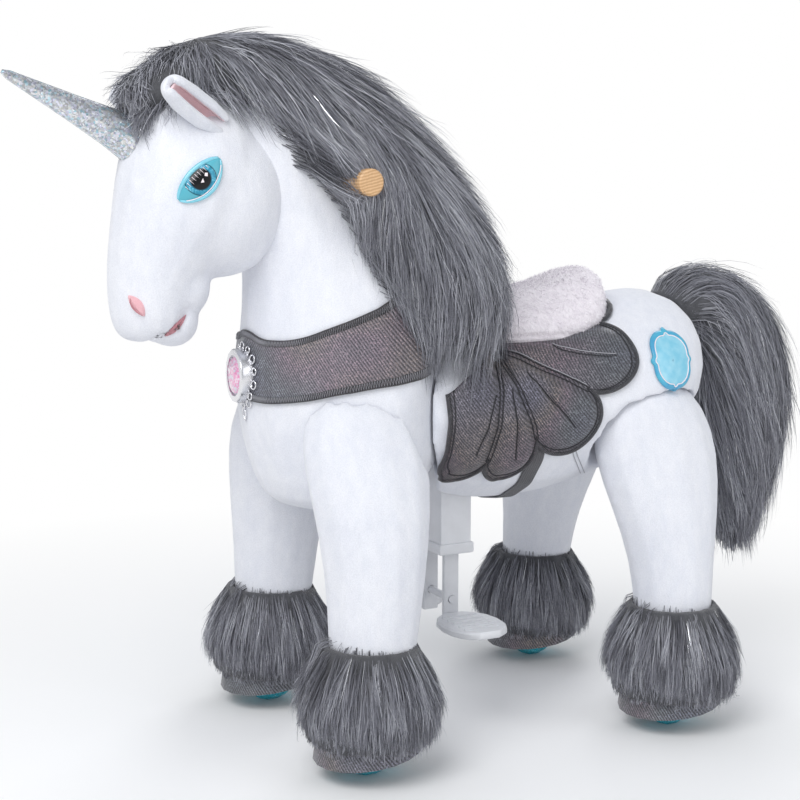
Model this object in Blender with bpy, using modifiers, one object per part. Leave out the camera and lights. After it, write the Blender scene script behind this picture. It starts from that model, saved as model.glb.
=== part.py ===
"""Ride-on plush unicorn on four wheels, at its real size.

The toy faces -Y, its left side is +X, and it stands on z = 0. Heights are measured from the floor,
and lengths along the toy from the middle of its wheelbase. The last step moves the whole toy so
that the origin lies under the middle of its box.

A steel chassis inside the stuffed trunk carries the head tube, the hip shaft and a rocker. Treading
the pedals down turns the rocker, which lifts the cranks of the hip shaft and swings the hind legs
forward. Leaning on the saddle spreads the legs again. The neck, head and front legs steer together.
"""
import math

import bmesh
import bpy
from mathutils import Matrix, Vector
from mathutils.bvhtree import BVHTree
import numpy as np

# Stance, in metres
WHEELBASE = 0.437
FRONT_TRACK = 0.317
REAR_TRACK = 0.351
HIP_HEIGHT = 0.405
HIP_ADVANCE = 0.020

# Fits
CLEARANCE = 0.0003
FOAM_GAP = 0.0010
STEER_GAP = 0.0030
SWING_GAP = 0.0025
OVERRUN = 0.02
WELD_LAP = 0.002

# Joint ranges, in degrees, and the gearing of the rocker linkage
STEER_RANGE_DEG = 20.0
SWING_RANGE_DEG = 14.0
SWEEP_STEPS = 5

# Round forms and soft forms
UNIT = 1.0
ROUND_STEPS = 20
SMALL_STEPS = 12
FURRED_STEPS = 14
HUB_STEPS = 14
ROUNDING_STEPS = 2
DRUM_STEPS = 32
SOFT_SIDES = 8
SOFT_LEVELS = 1
LIMB_SIDES = 6
ARC_STEPS = 9
SLOT_STEPS = 7
BOSS_STEPS = 5
OUTSIDE_SHARE = 2.0
SHARP_ANGLE_DEG = 40.0
MERGE_DISTANCE = 0.000002
CRUMB_SHARE = 0.2
DRAPE_LIMIT_SHARE = 0.97
THIGH_FLOOR = 0.220
THIGH_INNER_FACE = 0.0605

# Wheels
WHEEL_RADIUS = 0.043
TYRE_WIDTH = 0.024
TREAD_WIDTH = 0.010
HUB_RADIUS = 0.027
HUB_BOSS_RADIUS = 0.010
HUB_WEB = 0.010
HUB_RIM = 0.005
AXLE_RADIUS = 0.004
AXLE_HEAD_RADIUS = 0.0075
AXLE_HEAD_THICKNESS = 0.003

# Wheel brackets
BRACKET_WALL = 0.003
BRACKET_SIDE_GAP = 0.002
BRACKET_DEPTH = 0.028
BRACKET_BELOW_AXLE = 0.010
BRACKET_ABOVE_TYRE = 0.006

# Hooves and fur cuffs
HOOF_RADIUS = 0.0695
HOOF_TOP_RADIUS = 0.0585
HOOF_WALL = 0.004
HOOF_TOE_HEIGHT = 0.022
HOOF_HEEL_RISE = 0.018
CUFF_RADIUS = 0.0845
CUFF_TOP_RADIUS = 0.059
CUFF_HEM_RADIUS = 0.0775
CUFF_TOP_HEIGHT = 0.166
CUFF_FULL_HEIGHT = 0.092
CUFF_HEM_HEIGHT = 0.048

# Frame tubes
FORK_TUBE_RADIUS = 0.014
HIND_TUBE_RADIUS = 0.012
HEAD_TUBE_RADIUS = 0.0235
HEAD_TUBE_HEIGHT = 0.090
BUSH_WALL = 0.003
BUSH_FLANGE = 0.003
BUSH_FLANGE_REACH = 0.004
STEM_COLLAR_HEIGHT = 0.008
BACKBONE_RISE = 0.045
ARM_WIDTH = 0.032
ARM_HEIGHT = 0.040
PLATE_SPACING = 0.090
PLATE_THICKNESS = 0.004
PLATE_HALF_HEIGHT = 0.028
PLATE_WAIST_DROP = 0.027
PLATE_BOSS_RADIUS = 0.030
CROSS_TUBE_RADIUS = 0.012
CROSS_TUBE_SETBACK = 0.017
REAR_TUBE_ADVANCE = 0.045
LIGHTENING_HOLE_SPACING_SHARE = 0.3687
LIGHTENING_HOLE_SHARE = 0.35

# Hip shaft, cranks and rocker
HIP_SHAFT_RADIUS = 0.008
HIP_SHAFT_REACH = 0.135
HIP_HUB_RADIUS = 0.016
HIP_HUB_LENGTH = 0.030
HIP_BUSH_WALL = 0.0032
HIP_BUSH_LENGTH = 0.010
CRANK_LENGTH_SHARE = 0.4627
CRANK_PLATE = 0.006
CRANK_GAP = 0.0015
CRANK_HALF_HEIGHT = 0.009
CRANK_HUB_RADIUS = 0.016
LINK_PIN_RADIUS = 0.004
ROCKER_THICKNESS = 0.008
ROCKER_HALF_HEIGHT = 0.012
ROCKER_BOSS_RADIUS = 0.017
ROCKER_PIN_RADIUS = 0.006
ROCKER_REAR_ARM_SHARE = 0.1919
SLOT_PLAY = 0.0018
STOP_BAR_RADIUS = 0.006
STOP_BAR_SETBACK = 0.050

# Pedals and their housing
PEDAL_BAR_SETBACK = 0.1825
PEDAL_BAR_SPACING = 0.058
PEDAL_BAR_WIDTH = 0.022
PEDAL_BAR_THICKNESS = 0.008
PEDAL_BAR_DROP = 0.267
PEDAL_BAR_OVER_PIN = 0.012
PEDAL_DROP = 0.255
PEDAL_THICKNESS = 0.010
PEDAL_LENGTH = 0.104
PEDAL_WIDTH = 0.084
PEDAL_RIB_HEIGHT = 0.0015
PEDAL_RIB_WIDTH = 0.003
PEDAL_RIB_COUNT = 5
PEDAL_RIB_START_SHARE = 1.5
PEDAL_RIB_REACH_SHARE = 0.62
CROSS_ROD_RADIUS = 0.005
CROSS_ROD_DROP = 0.239
HOUSING_WIDTH = 0.090
HOUSING_DEPTH = 0.046
HOUSING_HEIGHT = 0.118
HOUSING_DROP = 0.057
HOUSING_WALL = 0.003
HOUSING_FLANGE = 0.003
HOUSING_FLANGE_HEIGHT = 0.015
HOUSING_LIP = 0.008
HOUSING_CORNER = 0.006

# Trunk
BELLY_DROP = 0.112
CROUP_RISE = 0.165
TRUNK_HALF_WIDTH = 0.150
SHOULDER_SETBACK = 0.075
RUMP_OVERHANG = 0.1225
SOCKET_RADIUS = 0.155
CAVITY_HALF_WIDTH = 0.0535
CAVITY_DEPTH = 0.042
CAVITY_ROOF_RISE = 0.084
CAVITY_END_MARGIN = 0.040

# Neck and chest
CHEST_HALF_WIDTH = 0.150
CHEST_HALF_DEPTH = 0.143
CHEST_BOTTOM = 0.300
NECK_TOP = 0.830

# Head
HEAD_TOP = 0.822
HEAD_LENGTH = 0.297
HEAD_HALF_WIDTH = 0.094
HEAD_HALF_DEPTH = 0.096
HEAD_ADVANCE = 0.155
MUZZLE_ADVANCE = 0.062

# Horn, ears, eyes
HORN_LENGTH = 0.182
HORN_BASE_RADIUS = 0.037
HORN_TIP_RADIUS = 0.005
HORN_PITCH_DEG = 26.0
HORN_BASE_DROP = 0.061
HORN_BASE_ADVANCE = 0.064
EAR_LENGTH = 0.092
EAR_HALF_WIDTH = 0.029
EAR_THICKNESS = 0.012
EAR_SPREAD = 0.071
EAR_DROP = 0.022
EAR_ADVANCE = 0.006
EAR_PITCH_DEG = 60.0
EAR_ROLL_DEG = 26.0
EYE_WIDTH = 0.074
EYE_HEIGHT = 0.044
EYE_DROP = 0.103
EYE_ADVANCE = 0.022
EYE_THICKNESS = 0.008
EYE_SLANT_DEG = 45.0

# Mane and tail
MANE_HALF_WIDTH = 0.115
MANE_HALF_DEPTH = 0.095
MANE_LENGTH = 0.515
MANE_HEIGHT = 0.345
FORELOCK_ADVANCE = 0.090
MANE_ROOT_DROP = 0.310
MANE_SIDE_FALL = 0.020
TAIL_HALF_WIDTH = 0.072
TAIL_HALF_DEPTH = 0.078
TAIL_LENGTH = 0.190
TAIL_HEIGHT = 0.410
TAIL_ROOT_SETBACK = 0.0885
TAIL_FALL = 0.398

# Handle
HANDLE_HEIGHT = 0.716
HANDLE_RADIUS = 0.016
HANDLE_SPAN = 0.342
HANDLE_SLEEVE_WALL = 0.003
HANDLE_SLEEVE_LENGTH = 0.070
HANDLE_END_ROUND = 0.002

# Collar and brooch
COLLAR_THICKNESS = 0.008
COLLAR_FRONT_TOP = 0.540
COLLAR_FRONT_BOTTOM = 0.452
COLLAR_SIDE_RISE = 0.034
COLLAR_BACK_TOP = 0.640
COLLAR_BACK_BOTTOM = 0.585
COLLAR_COLUMNS = 20
BROOCH_HALF_WIDTH = 0.029
BROOCH_HALF_HEIGHT = 0.034
BROOCH_THICKNESS = 0.012
BROOCH_HEIGHT = 0.478
BROOCH_ADVANCE = 0.103
BROOCH_RIM = 0.007

# Saddle
SADDLE_LENGTH = 0.224
SADDLE_HALF_WIDTH = 0.088
SADDLE_SETBACK = 0.185
SADDLE_SINK = 0.025
SADDLE_RISE = 0.100
SADDLE_SQUARE_SHARE = 0.64
BOARD_LENGTH = 0.150
BOARD_HALF_WIDTH = 0.060
BOARD_THICKNESS = 0.006
BOARD_RISE = 0.073
POST_RADIUS = 0.010
POST_SPACING = 0.100

# Saddle cloth, girth strap and rump plaque
WING_THICKNESS = 0.014
WING_ROOT_SETBACK = 0.2085
WING_ROOT_DROP = 0.068
WING_REACH_SHARE = 0.892
WING_SCALLOP_POWER = 0.7
WING_RINGS = 3
WING_LOBE_POINTS = 4
STRAP_SETBACK_SHARE = 0.229
STRAP_WIDTH = 0.022
STRAP_THICKNESS = 0.006
STRAP_TOP_SHARE = 0.56
STRAP_COLUMNS = 12
PLAQUE_HALF_WIDTH = 0.033
PLAQUE_HALF_HEIGHT = 0.041
PLAQUE_THICKNESS = 0.008
PLAQUE_SETBACK = 0.0175
PLAQUE_DROP = 0.086
PLAQUE_NOTCH_SHARE = 0.10
PLAQUE_POINT_POWER = 12
PLAQUE_POINTS = 24

# Front and hind legs
FRONT_LEG_BOTTOM = 0.075
FRONT_LEG_TOP = 0.475
FRONT_LEG_HALF_WIDTH = 0.068
FRONT_LEG_HALF_DEPTH = 0.086
FRONT_LEG_INSET = 0.066
FRONT_LEG_SETBACK = 0.0155
HIND_LEG_BOTTOM = 0.075
HIND_LEG_RISE = 0.051
HIND_LEG_HALF_WIDTH = 0.062
HIND_LEG_HALF_DEPTH = 0.095
HIND_LEG_INSET = 0.080
HIND_LEG_SETBACK = 0.0065

# Places that follow from the sizes above
STEER_Y = -WHEELBASE / 2
REAR_AXLE_Y = WHEELBASE / 2
HIP_Y = REAR_AXLE_Y - HIP_ADVANCE
BACKBONE_Z = HIP_HEIGHT + BACKBONE_RISE
BOARD_HEIGHT = BACKBONE_Z + BOARD_RISE
SADDLE_BASE = BOARD_HEIGHT - SADDLE_SINK
HOUSING_TOP = HIP_HEIGHT - HOUSING_DROP
HOUSING_BOTTOM = HOUSING_TOP - HOUSING_HEIGHT
PEDAL_BAR_BOTTOM = HIP_HEIGHT - PEDAL_BAR_DROP
PEDAL_HEIGHT = HIP_HEIGHT - PEDAL_DROP
CROSS_ROD_HEIGHT = HIP_HEIGHT - CROSS_ROD_DROP
HIND_LEG_TOP = HIP_HEIGHT + HIND_LEG_RISE
BAR_Y = STEER_Y + PEDAL_BAR_SETBACK
LINKAGE_SPAN = HIP_Y - BAR_Y
CRANK_LENGTH = LINKAGE_SPAN * CRANK_LENGTH_SHARE
CRANK_PIN_Y = HIP_Y - CRANK_LENGTH
LIGHTENING_HOLE_SPACING = CRANK_LENGTH * LIGHTENING_HOLE_SPACING_SHARE
LIGHTENING_HOLE_RADIUS = LIGHTENING_HOLE_SPACING * LIGHTENING_HOLE_SHARE
ROCKER_REAR_ARM = LINKAGE_SPAN * ROCKER_REAR_ARM_SHARE
ROCKER_Y = CRANK_PIN_Y - ROCKER_REAR_ARM
ROCKER_FRONT_ARM = ROCKER_Y - BAR_Y
SWING_RANGE = math.radians(SWING_RANGE_DEG)
STEER_RANGE = math.radians(STEER_RANGE_DEG)
CRANK_LIFT = CRANK_LENGTH * math.sin(SWING_RANGE)
CRANK_DRAW = CRANK_LENGTH * (1 - math.cos(SWING_RANGE))
ROCKER_RANGE = math.atan2(CRANK_LIFT, ROCKER_REAR_ARM + CRANK_DRAW)
BRACKET_TOP = WHEEL_RADIUS * 2 + BRACKET_ABOVE_TYRE + BRACKET_WALL
HOOF_TOP = BRACKET_TOP + CLEARANCE + HOOF_WALL
CROUP_HEIGHT = HIP_HEIGHT + CROUP_RISE
TAIL_TIP_HEIGHT = CROUP_HEIGHT - TAIL_FALL
PLAQUE_Y = REAR_AXLE_Y + PLAQUE_SETBACK
PLAQUE_HEIGHT = CROUP_HEIGHT - PLAQUE_DROP
WING_ROOT_Y = STEER_Y + WING_ROOT_SETBACK
WING_ROOT_HEIGHT = CROUP_HEIGHT - WING_ROOT_DROP
WING_REACH = (PLAQUE_Y - PLAQUE_HALF_WIDTH - WING_ROOT_Y) * WING_REACH_SHARE
STRAP_Y = WING_ROOT_Y + WING_REACH * STRAP_SETBACK_SHARE
STRAP_TOP_HEIGHT = WING_ROOT_HEIGHT - WING_REACH * STRAP_TOP_SHARE
MANE_FRONT_Y = STEER_Y - HEAD_ADVANCE - FORELOCK_ADVANCE
MANE_ROOT_HEIGHT = NECK_TOP - MANE_ROOT_DROP
ACROSS = Matrix.Rotation(math.pi / 2, 4, "Y")

# Surface finishes: colour, roughness, metallic
FINISHES = {
    "plush": ((0.93, 0.93, 0.95), 0.95, 0.0),
    "fur": ((0.30, 0.30, 0.32), 0.85, 0.0),
    "cloth": ((0.16, 0.16, 0.18), 0.55, 0.3),
    "saddle": ((0.93, 0.88, 0.91), 0.9, 0.0),
    "steel": ((0.55, 0.56, 0.58), 0.35, 1.0),
    "painted": ((0.72, 0.73, 0.76), 0.4, 0.2),
    "plastic": ((0.80, 0.80, 0.83), 0.35, 0.0),
    "dark_plastic": ((0.10, 0.10, 0.11), 0.5, 0.0),
    "tyre": ((0.02, 0.62, 0.78), 0.35, 0.0),
    "hub": ((0.90, 0.92, 0.95), 0.3, 0.0),
    "wood": ((0.66, 0.42, 0.20), 0.5, 0.0),
    "horn": ((0.70, 0.76, 0.80), 0.3, 0.6),
    "eye": ((0.05, 0.45, 0.55), 0.1, 0.0),
    "ear": ((0.92, 0.85, 0.87), 0.9, 0.0),
    "silver": ((0.75, 0.75, 0.78), 0.25, 1.0),
    "plaque": ((0.35, 0.68, 0.85), 0.5, 0.0),
}


def clear_scene():
    for old in list(bpy.data.objects):
        bpy.data.objects.remove(old, do_unlink=True)


def new_collection(name):
    collection = bpy.data.collections.new(name)
    bpy.context.scene.collection.children.link(collection)
    return collection


clear_scene()
PARTS = new_collection("ride_on_unicorn")
CUTTERS = new_collection("cutters")


# Objects and meshes

def add_object(name, data, collection=CUTTERS):
    made = bpy.data.objects.new(name, data)
    collection.objects.link(made)
    if collection is CUTTERS:
        made.hide_render = True
        made.display_type = "WIRE"
    return made


def mesh_object(name, bm):
    """Close a bmesh into an object with its faces pointing out."""
    bmesh.ops.recalc_face_normals(bm, faces=bm.faces)
    if bm.calc_volume(signed=True) < 0:
        bmesh.ops.reverse_faces(bm, faces=bm.faces)
    mesh = bpy.data.meshes.new(name)
    bm.to_mesh(mesh)
    bm.free()
    mesh.shade_smooth()
    return add_object(name, mesh)


def evaluated_mesh(source):
    """The object's mesh with its modifiers, in world space."""
    bpy.context.view_layer.update()
    depsgraph = bpy.context.evaluated_depsgraph_get()
    mesh = bpy.data.meshes.new_from_object(source.evaluated_get(depsgraph))
    mesh.transform(source.matrix_world)
    return mesh


def bake(piece):
    """Replace an object's mesh by its evaluated one, in world space, welded and cleaned."""
    mesh = evaluated_mesh(piece)
    bm = bmesh.new()
    bm.from_mesh(mesh)
    bmesh.ops.remove_doubles(bm, verts=bm.verts, dist=MERGE_DISTANCE)
    drop_crumbs(bm)
    bm.to_mesh(mesh)
    bm.free()
    if piece.type == "CURVE":
        made = add_object(piece.name, mesh)
        name = piece.name
        bpy.data.objects.remove(piece, do_unlink=True)
        made.name = name
        return made
    piece.modifiers.clear()
    piece.data = mesh
    piece.matrix_world = Matrix.Identity(4)
    return piece


def drop_crumbs(bm):
    """Keep the largest of the separate bodies that a cut leaves behind."""
    groups = []
    seen = set()
    for start in bm.verts:
        if start in seen:
            continue
        group = []
        stack = [start]
        seen.add(start)
        while stack:
            vert = stack.pop()
            group.append(vert)
            for edge in vert.link_edges:
                other = edge.other_vert(vert)
                if other not in seen:
                    seen.add(other)
                    stack.append(other)
        groups.append(group)
    if len(groups) < 2:
        return
    groups.sort(key=group_size)
    largest = group_size(groups[-1])
    doomed = [vert for group in groups if group_size(group) < largest * CRUMB_SHARE for vert in group]
    bmesh.ops.delete(bm, geom=doomed, context="VERTS")


def group_size(group):
    """Diagonal of the box round a group of vertices."""
    lows = [min(vert.co[axis] for vert in group) for axis in range(3)]
    highs = [max(vert.co[axis] for vert in group) for axis in range(3)]
    return (Vector(highs) - Vector(lows)).length


def copy_of(source, name):
    return add_object(name, evaluated_mesh(source))


def grown(source, gap, name=None):
    """A cutter that is the source with every face moved out by a gap."""
    mesh = evaluated_mesh(source)
    bm = bmesh.new()
    bm.from_mesh(mesh)
    bm.normal_update()
    places = [(vert, vert.co + vert.normal * vert.calc_shell_factor() * gap) for vert in bm.verts]
    for vert, place in places:
        vert.co = place
    bm.to_mesh(mesh)
    bm.free()
    return add_object(name or f"{source.name}_clearance", mesh)


def boolean(piece, cutter, operation="DIFFERENCE"):
    modifier = piece.modifiers.new(f"{operation.lower()}_{cutter.name}"[:60], "BOOLEAN")
    modifier.operation = operation
    modifier.solver = "EXACT"
    modifier.object = cutter
    return piece


def cut(piece, *cutters):
    for cutter in cutters:
        boolean(piece, cutter)
        bake(piece)
    return piece


def seat(piece, *carriers, gap=CLEARANCE):
    """Cut a piece by its neighbours, leaving the clearance between them."""
    return cut(piece, *[grown(carrier, gap) for carrier in carriers])


def fuse(name, *pieces):
    """Weld overlapping pieces into one solid."""
    first = pieces[0]
    first.name = name
    for other in pieces[1:]:
        boolean(first, other, "UNION")
        bake(first)
        bpy.data.objects.remove(other, do_unlink=True)
    return first


def flat_faced(piece):
    """Split the bent faces of a form into triangles, so that every cut sees the same surface."""
    bm = bmesh.new()
    bm.from_mesh(piece.data)
    bmesh.ops.triangulate(bm, faces=bm.faces)
    bm.to_mesh(piece.data)
    bm.free()
    return piece


def mirrored(source, name):
    """The same piece on the other side of the toy."""
    mesh = evaluated_mesh(source)
    bm = bmesh.new()
    bm.from_mesh(mesh)
    bmesh.ops.scale(bm, vec=(-UNIT, UNIT, UNIT), verts=bm.verts)
    bmesh.ops.reverse_faces(bm, faces=bm.faces)
    bm.to_mesh(mesh)
    bm.free()
    return add_object(name, mesh)


def swept(name, sources, pivot, axis, angles, gap, floor=0):
    """One convex cutter round all that the sources reach as they turn about an axis.

    Points of the sources below the floor are left out.
    """
    bm = bmesh.new()
    for source in sources:
        cutter = grown(source, gap)
        for angle in angles:
            turn = (Matrix.Translation(pivot) @ Matrix.Rotation(angle, 4, Vector(axis))
                    @ Matrix.Translation(-pivot))
            for vert in cutter.data.vertices:
                if vert.co.z > floor:
                    bm.verts.new(turn @ vert.co)
    hull = bmesh.ops.convex_hull(bm, input=bm.verts)
    spare = {item for item in hull["geom_interior"] + hull["geom_unused"]
             if isinstance(item, bmesh.types.BMVert)}
    bmesh.ops.delete(bm, geom=list(spare), context="VERTS")
    return mesh_object(name, bm)


def spread(low, high, count):
    return [low + (high - low) * index / (count - 1) for index in range(count)]


# Basic shapes

def box(name, low, high, bevel=0.0):
    bm = bmesh.new()
    centre = (Vector(low) + Vector(high)) / 2
    size = Vector(high) - Vector(low)
    matrix = Matrix.Translation(centre) @ Matrix.Diagonal(size.to_4d())
    bmesh.ops.create_cube(bm, size=UNIT, matrix=matrix)
    made = mesh_object(name, bm)
    if bevel:
        rounding = made.modifiers.new("rounded_edges", "BEVEL")
        rounding.width = bevel
        rounding.segments = ROUNDING_STEPS
        bake(made)
    return made


def rod(name, start, end, radius, steps=SMALL_STEPS):
    """A round bar between two points."""
    start = Vector(start)
    end = Vector(end)
    bm = bmesh.new()
    bmesh.ops.create_cone(bm, cap_ends=True, segments=steps, radius1=radius, radius2=radius,
                          depth=(end - start).length)
    made = mesh_object(name, bm)
    turn = (end - start).to_track_quat("Z", "Y").to_matrix().to_4x4()
    made.matrix_world = Matrix.Translation((start + end) / 2) @ turn
    return bake(made)


def turned(name, profile, steps, place):
    """Turn a profile of (radius, height) points about its own Z axis.

    A profile that starts off the axis is closed, and one that starts on it ends on it too.
    """
    bm = bmesh.new()
    verts = [bm.verts.new((radius, 0, height)) for radius, height in profile]
    for vert, after in zip(verts, verts[1:]):
        bm.edges.new((vert, after))
    if profile[0][0] > 0:
        bm.edges.new((verts[-1], verts[0]))
    mesh = bpy.data.meshes.new(name)
    bm.to_mesh(mesh)
    bm.free()
    made = add_object(name, mesh)
    screw = made.modifiers.new("turned", "SCREW")
    screw.steps = steps
    screw.render_steps = steps
    screw.use_merge_vertices = True
    screw.merge_threshold = MERGE_DISTANCE
    made.matrix_world = place
    return face_out(bake(made))


def face_out(piece):
    """Point every face of a closed mesh outwards."""
    bm = bmesh.new()
    bm.from_mesh(piece.data)
    bmesh.ops.recalc_face_normals(bm, faces=bm.faces)
    if bm.calc_volume(signed=True) < 0:
        bmesh.ops.reverse_faces(bm, faces=bm.faces)
    bm.to_mesh(piece.data)
    bm.free()
    return piece


def washer(name, inner, outer, start, end, steps=SMALL_STEPS):
    """A short tube between two points."""
    start = Vector(start)
    end = Vector(end)
    length = (end - start).length
    profile = [(outer, length), (outer, 0), (inner, 0), (inner, length)]
    turn = (end - start).to_track_quat("Z", "Y").to_matrix().to_4x4()
    return turned(name, profile, steps, Matrix.Translation(start) @ turn)


def tube(name, points, radius, steps=2):
    """A bent steel tube, modelled solid because its bore is closed at both ends."""
    curve = bpy.data.curves.new(name, "CURVE")
    curve.dimensions = "3D"
    curve.bevel_depth = radius
    curve.bevel_resolution = steps
    curve.use_fill_caps = True
    spline = curve.splines.new("POLY")
    spline.points.add(len(points) - 1)
    for point, place in zip(spline.points, points):
        point.co = (*place, UNIT)
    return flat_faced(face_out(bake(add_object(name, curve))))


def plate(name, outlines, thickness, x):
    """A flat plate in the YZ plane, from an outer outline and the outlines of its holes."""
    curve = bpy.data.curves.new(name, "CURVE")
    curve.dimensions = "2D"
    curve.fill_mode = "BOTH"
    curve.extrude = thickness / 2
    for outline in outlines:
        spline = curve.splines.new("POLY")
        spline.points.add(len(outline) - 1)
        for point, (y, z) in zip(spline.points, outline):
            point.co = (y, z, 0, UNIT)
        spline.use_cyclic_u = True
    made = add_object(name, curve)
    upright = Matrix(((0, 0, UNIT, x), (UNIT, 0, 0, 0), (0, UNIT, 0, 0), (0, 0, 0, UNIT)))
    made.matrix_world = upright
    return face_out(bake(made))


def clear_hole(radius, steps=SMALL_STEPS):
    """Radius of a many-sided hole whose flats clear a round bar."""
    return (radius + CLEARANCE) / math.cos(math.pi / steps)


def arc(centre, radius, start_deg, end_deg, count):
    """Points (y, z) along an arc in the side view."""
    angles = [math.radians(angle) for angle in spread(start_deg, end_deg, count)]
    return [(centre[0] + radius * math.cos(a), centre[1] + radius * math.sin(a)) for a in angles]


def circle(centre, radius, count=SMALL_STEPS):
    turns = [math.tau * index / count for index in range(count)]
    return [(centre[0] + radius * math.cos(a), centre[1] + radius * math.sin(a)) for a in turns]


def slot(centre, half_length, half_width):
    """Outline of a slot with round ends, lying along Y."""
    y, z = centre
    straight = half_length - half_width
    right = arc((y + straight, z), half_width, -90, 90, SLOT_STEPS)
    left = arc((y - straight, z), half_width, 90, 270, SLOT_STEPS)
    return right + left


# Stuffed forms

def cage_growth(sides):
    """How much larger a coarse ring has to be for its smoothed form to reach its size."""
    return 6 / (4 + 2 * math.cos(math.tau / sides))


def stuffed(name, rings, sides=SOFT_SIDES, levels=SOFT_LEVELS, square=UNIT):
    """Loft oval sections into a soft form.

    A ring is (x, y, z, half width, half depth, tilt). Its depth lies along Y, turned up by the tilt.
    """
    bm = bmesh.new()
    growth = cage_growth(sides)
    loops = []
    for x, y, z, half_width, half_depth, tilt in rings:
        verts = bmesh.ops.create_circle(bm, radius=UNIT, segments=sides)["verts"]
        loops.append(list({edge for vert in verts for edge in vert.link_edges}))
        turn = Matrix.Rotation(tilt, 3, "X")
        for vert in verts:
            across = math.copysign(abs(vert.co.x) ** square, vert.co.x) * half_width * growth
            along = math.copysign(abs(vert.co.y) ** square, vert.co.y) * half_depth * growth
            vert.co = Vector((x, y, z)) + turn @ Vector((across, along, 0))
    for lower, upper in zip(loops, loops[1:]):
        bmesh.ops.bridge_loops(bm, edges=lower + upper)
    bmesh.ops.contextual_create(bm, geom=loops[0])
    bmesh.ops.contextual_create(bm, geom=loops[-1])
    made = mesh_object(name, bm)
    smooth = made.modifiers.new("stuffed", "SUBSURF")
    smooth.levels = levels
    smooth.render_levels = levels
    return flat_faced(bake(made))


def path_rings(points):
    """Sections square to a path in the side view; a point is (x, y, z, half width, half depth)."""
    rings = []
    for index, (x, y, z, half_width, half_depth) in enumerate(points):
        before = points[max(index - 1, 0)]
        after = points[min(index + 1, len(points) - 1)]
        tilt = math.atan2(before[1] - after[1], after[2] - before[2])
        rings.append((x, y, z, half_width, half_depth, tilt))
    return rings


def surface_of(source):
    bm = bmesh.new()
    bm.from_mesh(evaluated_mesh(source))
    tree = BVHTree.FromBMesh(bm)
    bm.free()
    return tree


def reach_surface(tree, start, direction):
    """Where a ray meets a form, or the form's nearest point when the ray passes it by."""
    place, normal, _, _ = tree.ray_cast(Vector(start), Vector(direction))
    if place is None:
        place, normal, _, _ = tree.find_nearest(Vector(start))
    return place, normal


def cloth_sheet(name, grid, thickness, closed=False):
    """Thicken a grid of surface points, half into the form below and half out of it."""
    bm = bmesh.new()
    rows = [[bm.verts.new(place) for place in row] for row in grid]
    for row, above in zip(rows, rows[1:]):
        count = len(row)
        for index in range(count if closed else count - 1):
            after = (index + 1) % count
            bm.faces.new((row[index], row[after], above[after], above[index]))
    made = mesh_object(name, bm)
    wall = made.modifiers.new("thickness", "SOLIDIFY")
    wall.thickness = thickness
    wall.offset = 0
    wall.use_even_offset = True
    return flat_faced(face_out(bake(made)))


# Wheels and their brackets

def wheel_place(x, y):
    """At a wheel's centre, with the local Z axis along the axle and a facet of the tyre level below."""
    level = Matrix.Rotation(math.pi / ROUND_STEPS, 4, "Z")
    return Matrix.Translation((x, y, WHEEL_RADIUS)) @ ACROSS @ level


def build_wheel(tag, x, y):
    crown = WHEEL_RADIUS / math.cos(math.pi / ROUND_STEPS)
    shoulder = HUB_RADIUS + (crown - HUB_RADIUS) * 2 / 3
    half = TYRE_WIDTH / 2
    profile = [(HUB_RADIUS, half), (shoulder, half), (crown, TREAD_WIDTH / 2),
               (crown, -TREAD_WIDTH / 2), (shoulder, -half), (HUB_RADIUS, -half)]
    turned(f"tyre_{tag}", profile, ROUND_STEPS, wheel_place(x, y))
    rim = HUB_RADIUS * math.cos(math.pi / ROUND_STEPS) - CLEARANCE
    bore = clear_hole(AXLE_RADIUS, HUB_STEPS)
    web = HUB_WEB / 2
    profile = [(bore, half), (HUB_BOSS_RADIUS, half), (rim - HUB_RIM, web), (rim, half), (rim, -half),
               (rim - HUB_RIM, -web), (HUB_BOSS_RADIUS, -half), (bore, -half)]
    turned(f"hub_{tag}", profile, HUB_STEPS, wheel_place(x, y))
    build_axle(tag, x, y)


def bracket_inside():
    return TYRE_WIDTH / 2 + BRACKET_SIDE_GAP


def build_axle(tag, x, y):
    """A shouldered bolt through both sides of the bracket."""
    end = bracket_inside() + BRACKET_WALL + CLEARANCE
    head = end + AXLE_HEAD_THICKNESS
    profile = [(0, head), (AXLE_HEAD_RADIUS, head), (AXLE_HEAD_RADIUS, end), (AXLE_RADIUS, end),
               (AXLE_RADIUS, -end), (AXLE_HEAD_RADIUS, -end), (AXLE_HEAD_RADIUS, -head), (0, -head)]
    turned(f"axle_{tag}", profile, SMALL_STEPS, wheel_place(x, y))


def bracket(tag, x, y):
    """An inverted U that the tube's foot is welded to."""
    inside = bracket_inside()
    outside = inside + BRACKET_WALL
    half = BRACKET_DEPTH / 2
    low = WHEEL_RADIUS - BRACKET_BELOW_AXLE
    made = box(f"bracket_{tag}", (x - outside, y - half, low), (x + outside, y + half, BRACKET_TOP))
    channel = box(f"channel_{tag}", (x - inside, y - half - OVERRUN, low - OVERRUN),
                  (x + inside, y + half + OVERRUN, BRACKET_TOP - BRACKET_WALL))
    hole = rod(f"axle_hole_{tag}", (x - outside - OVERRUN, y, WHEEL_RADIUS),
               (x + outside + OVERRUN, y, WHEEL_RADIUS), clear_hole(AXLE_RADIUS))
    return cut(made, channel, hole)


def hoof_block(tag, x, y):
    """The hoof as a solid block, which the hollow hoof and the pieces round it are cut from."""
    profile = [(0, HOOF_TOP), (HOOF_TOP_RADIUS, HOOF_TOP), (HOOF_RADIUS, HOOF_TOE_HEIGHT),
               (0, HOOF_TOE_HEIGHT)]
    return turned(f"hoof_block_{tag}", profile, ROUND_STEPS, Matrix.Translation((x, y, 0)))


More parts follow.
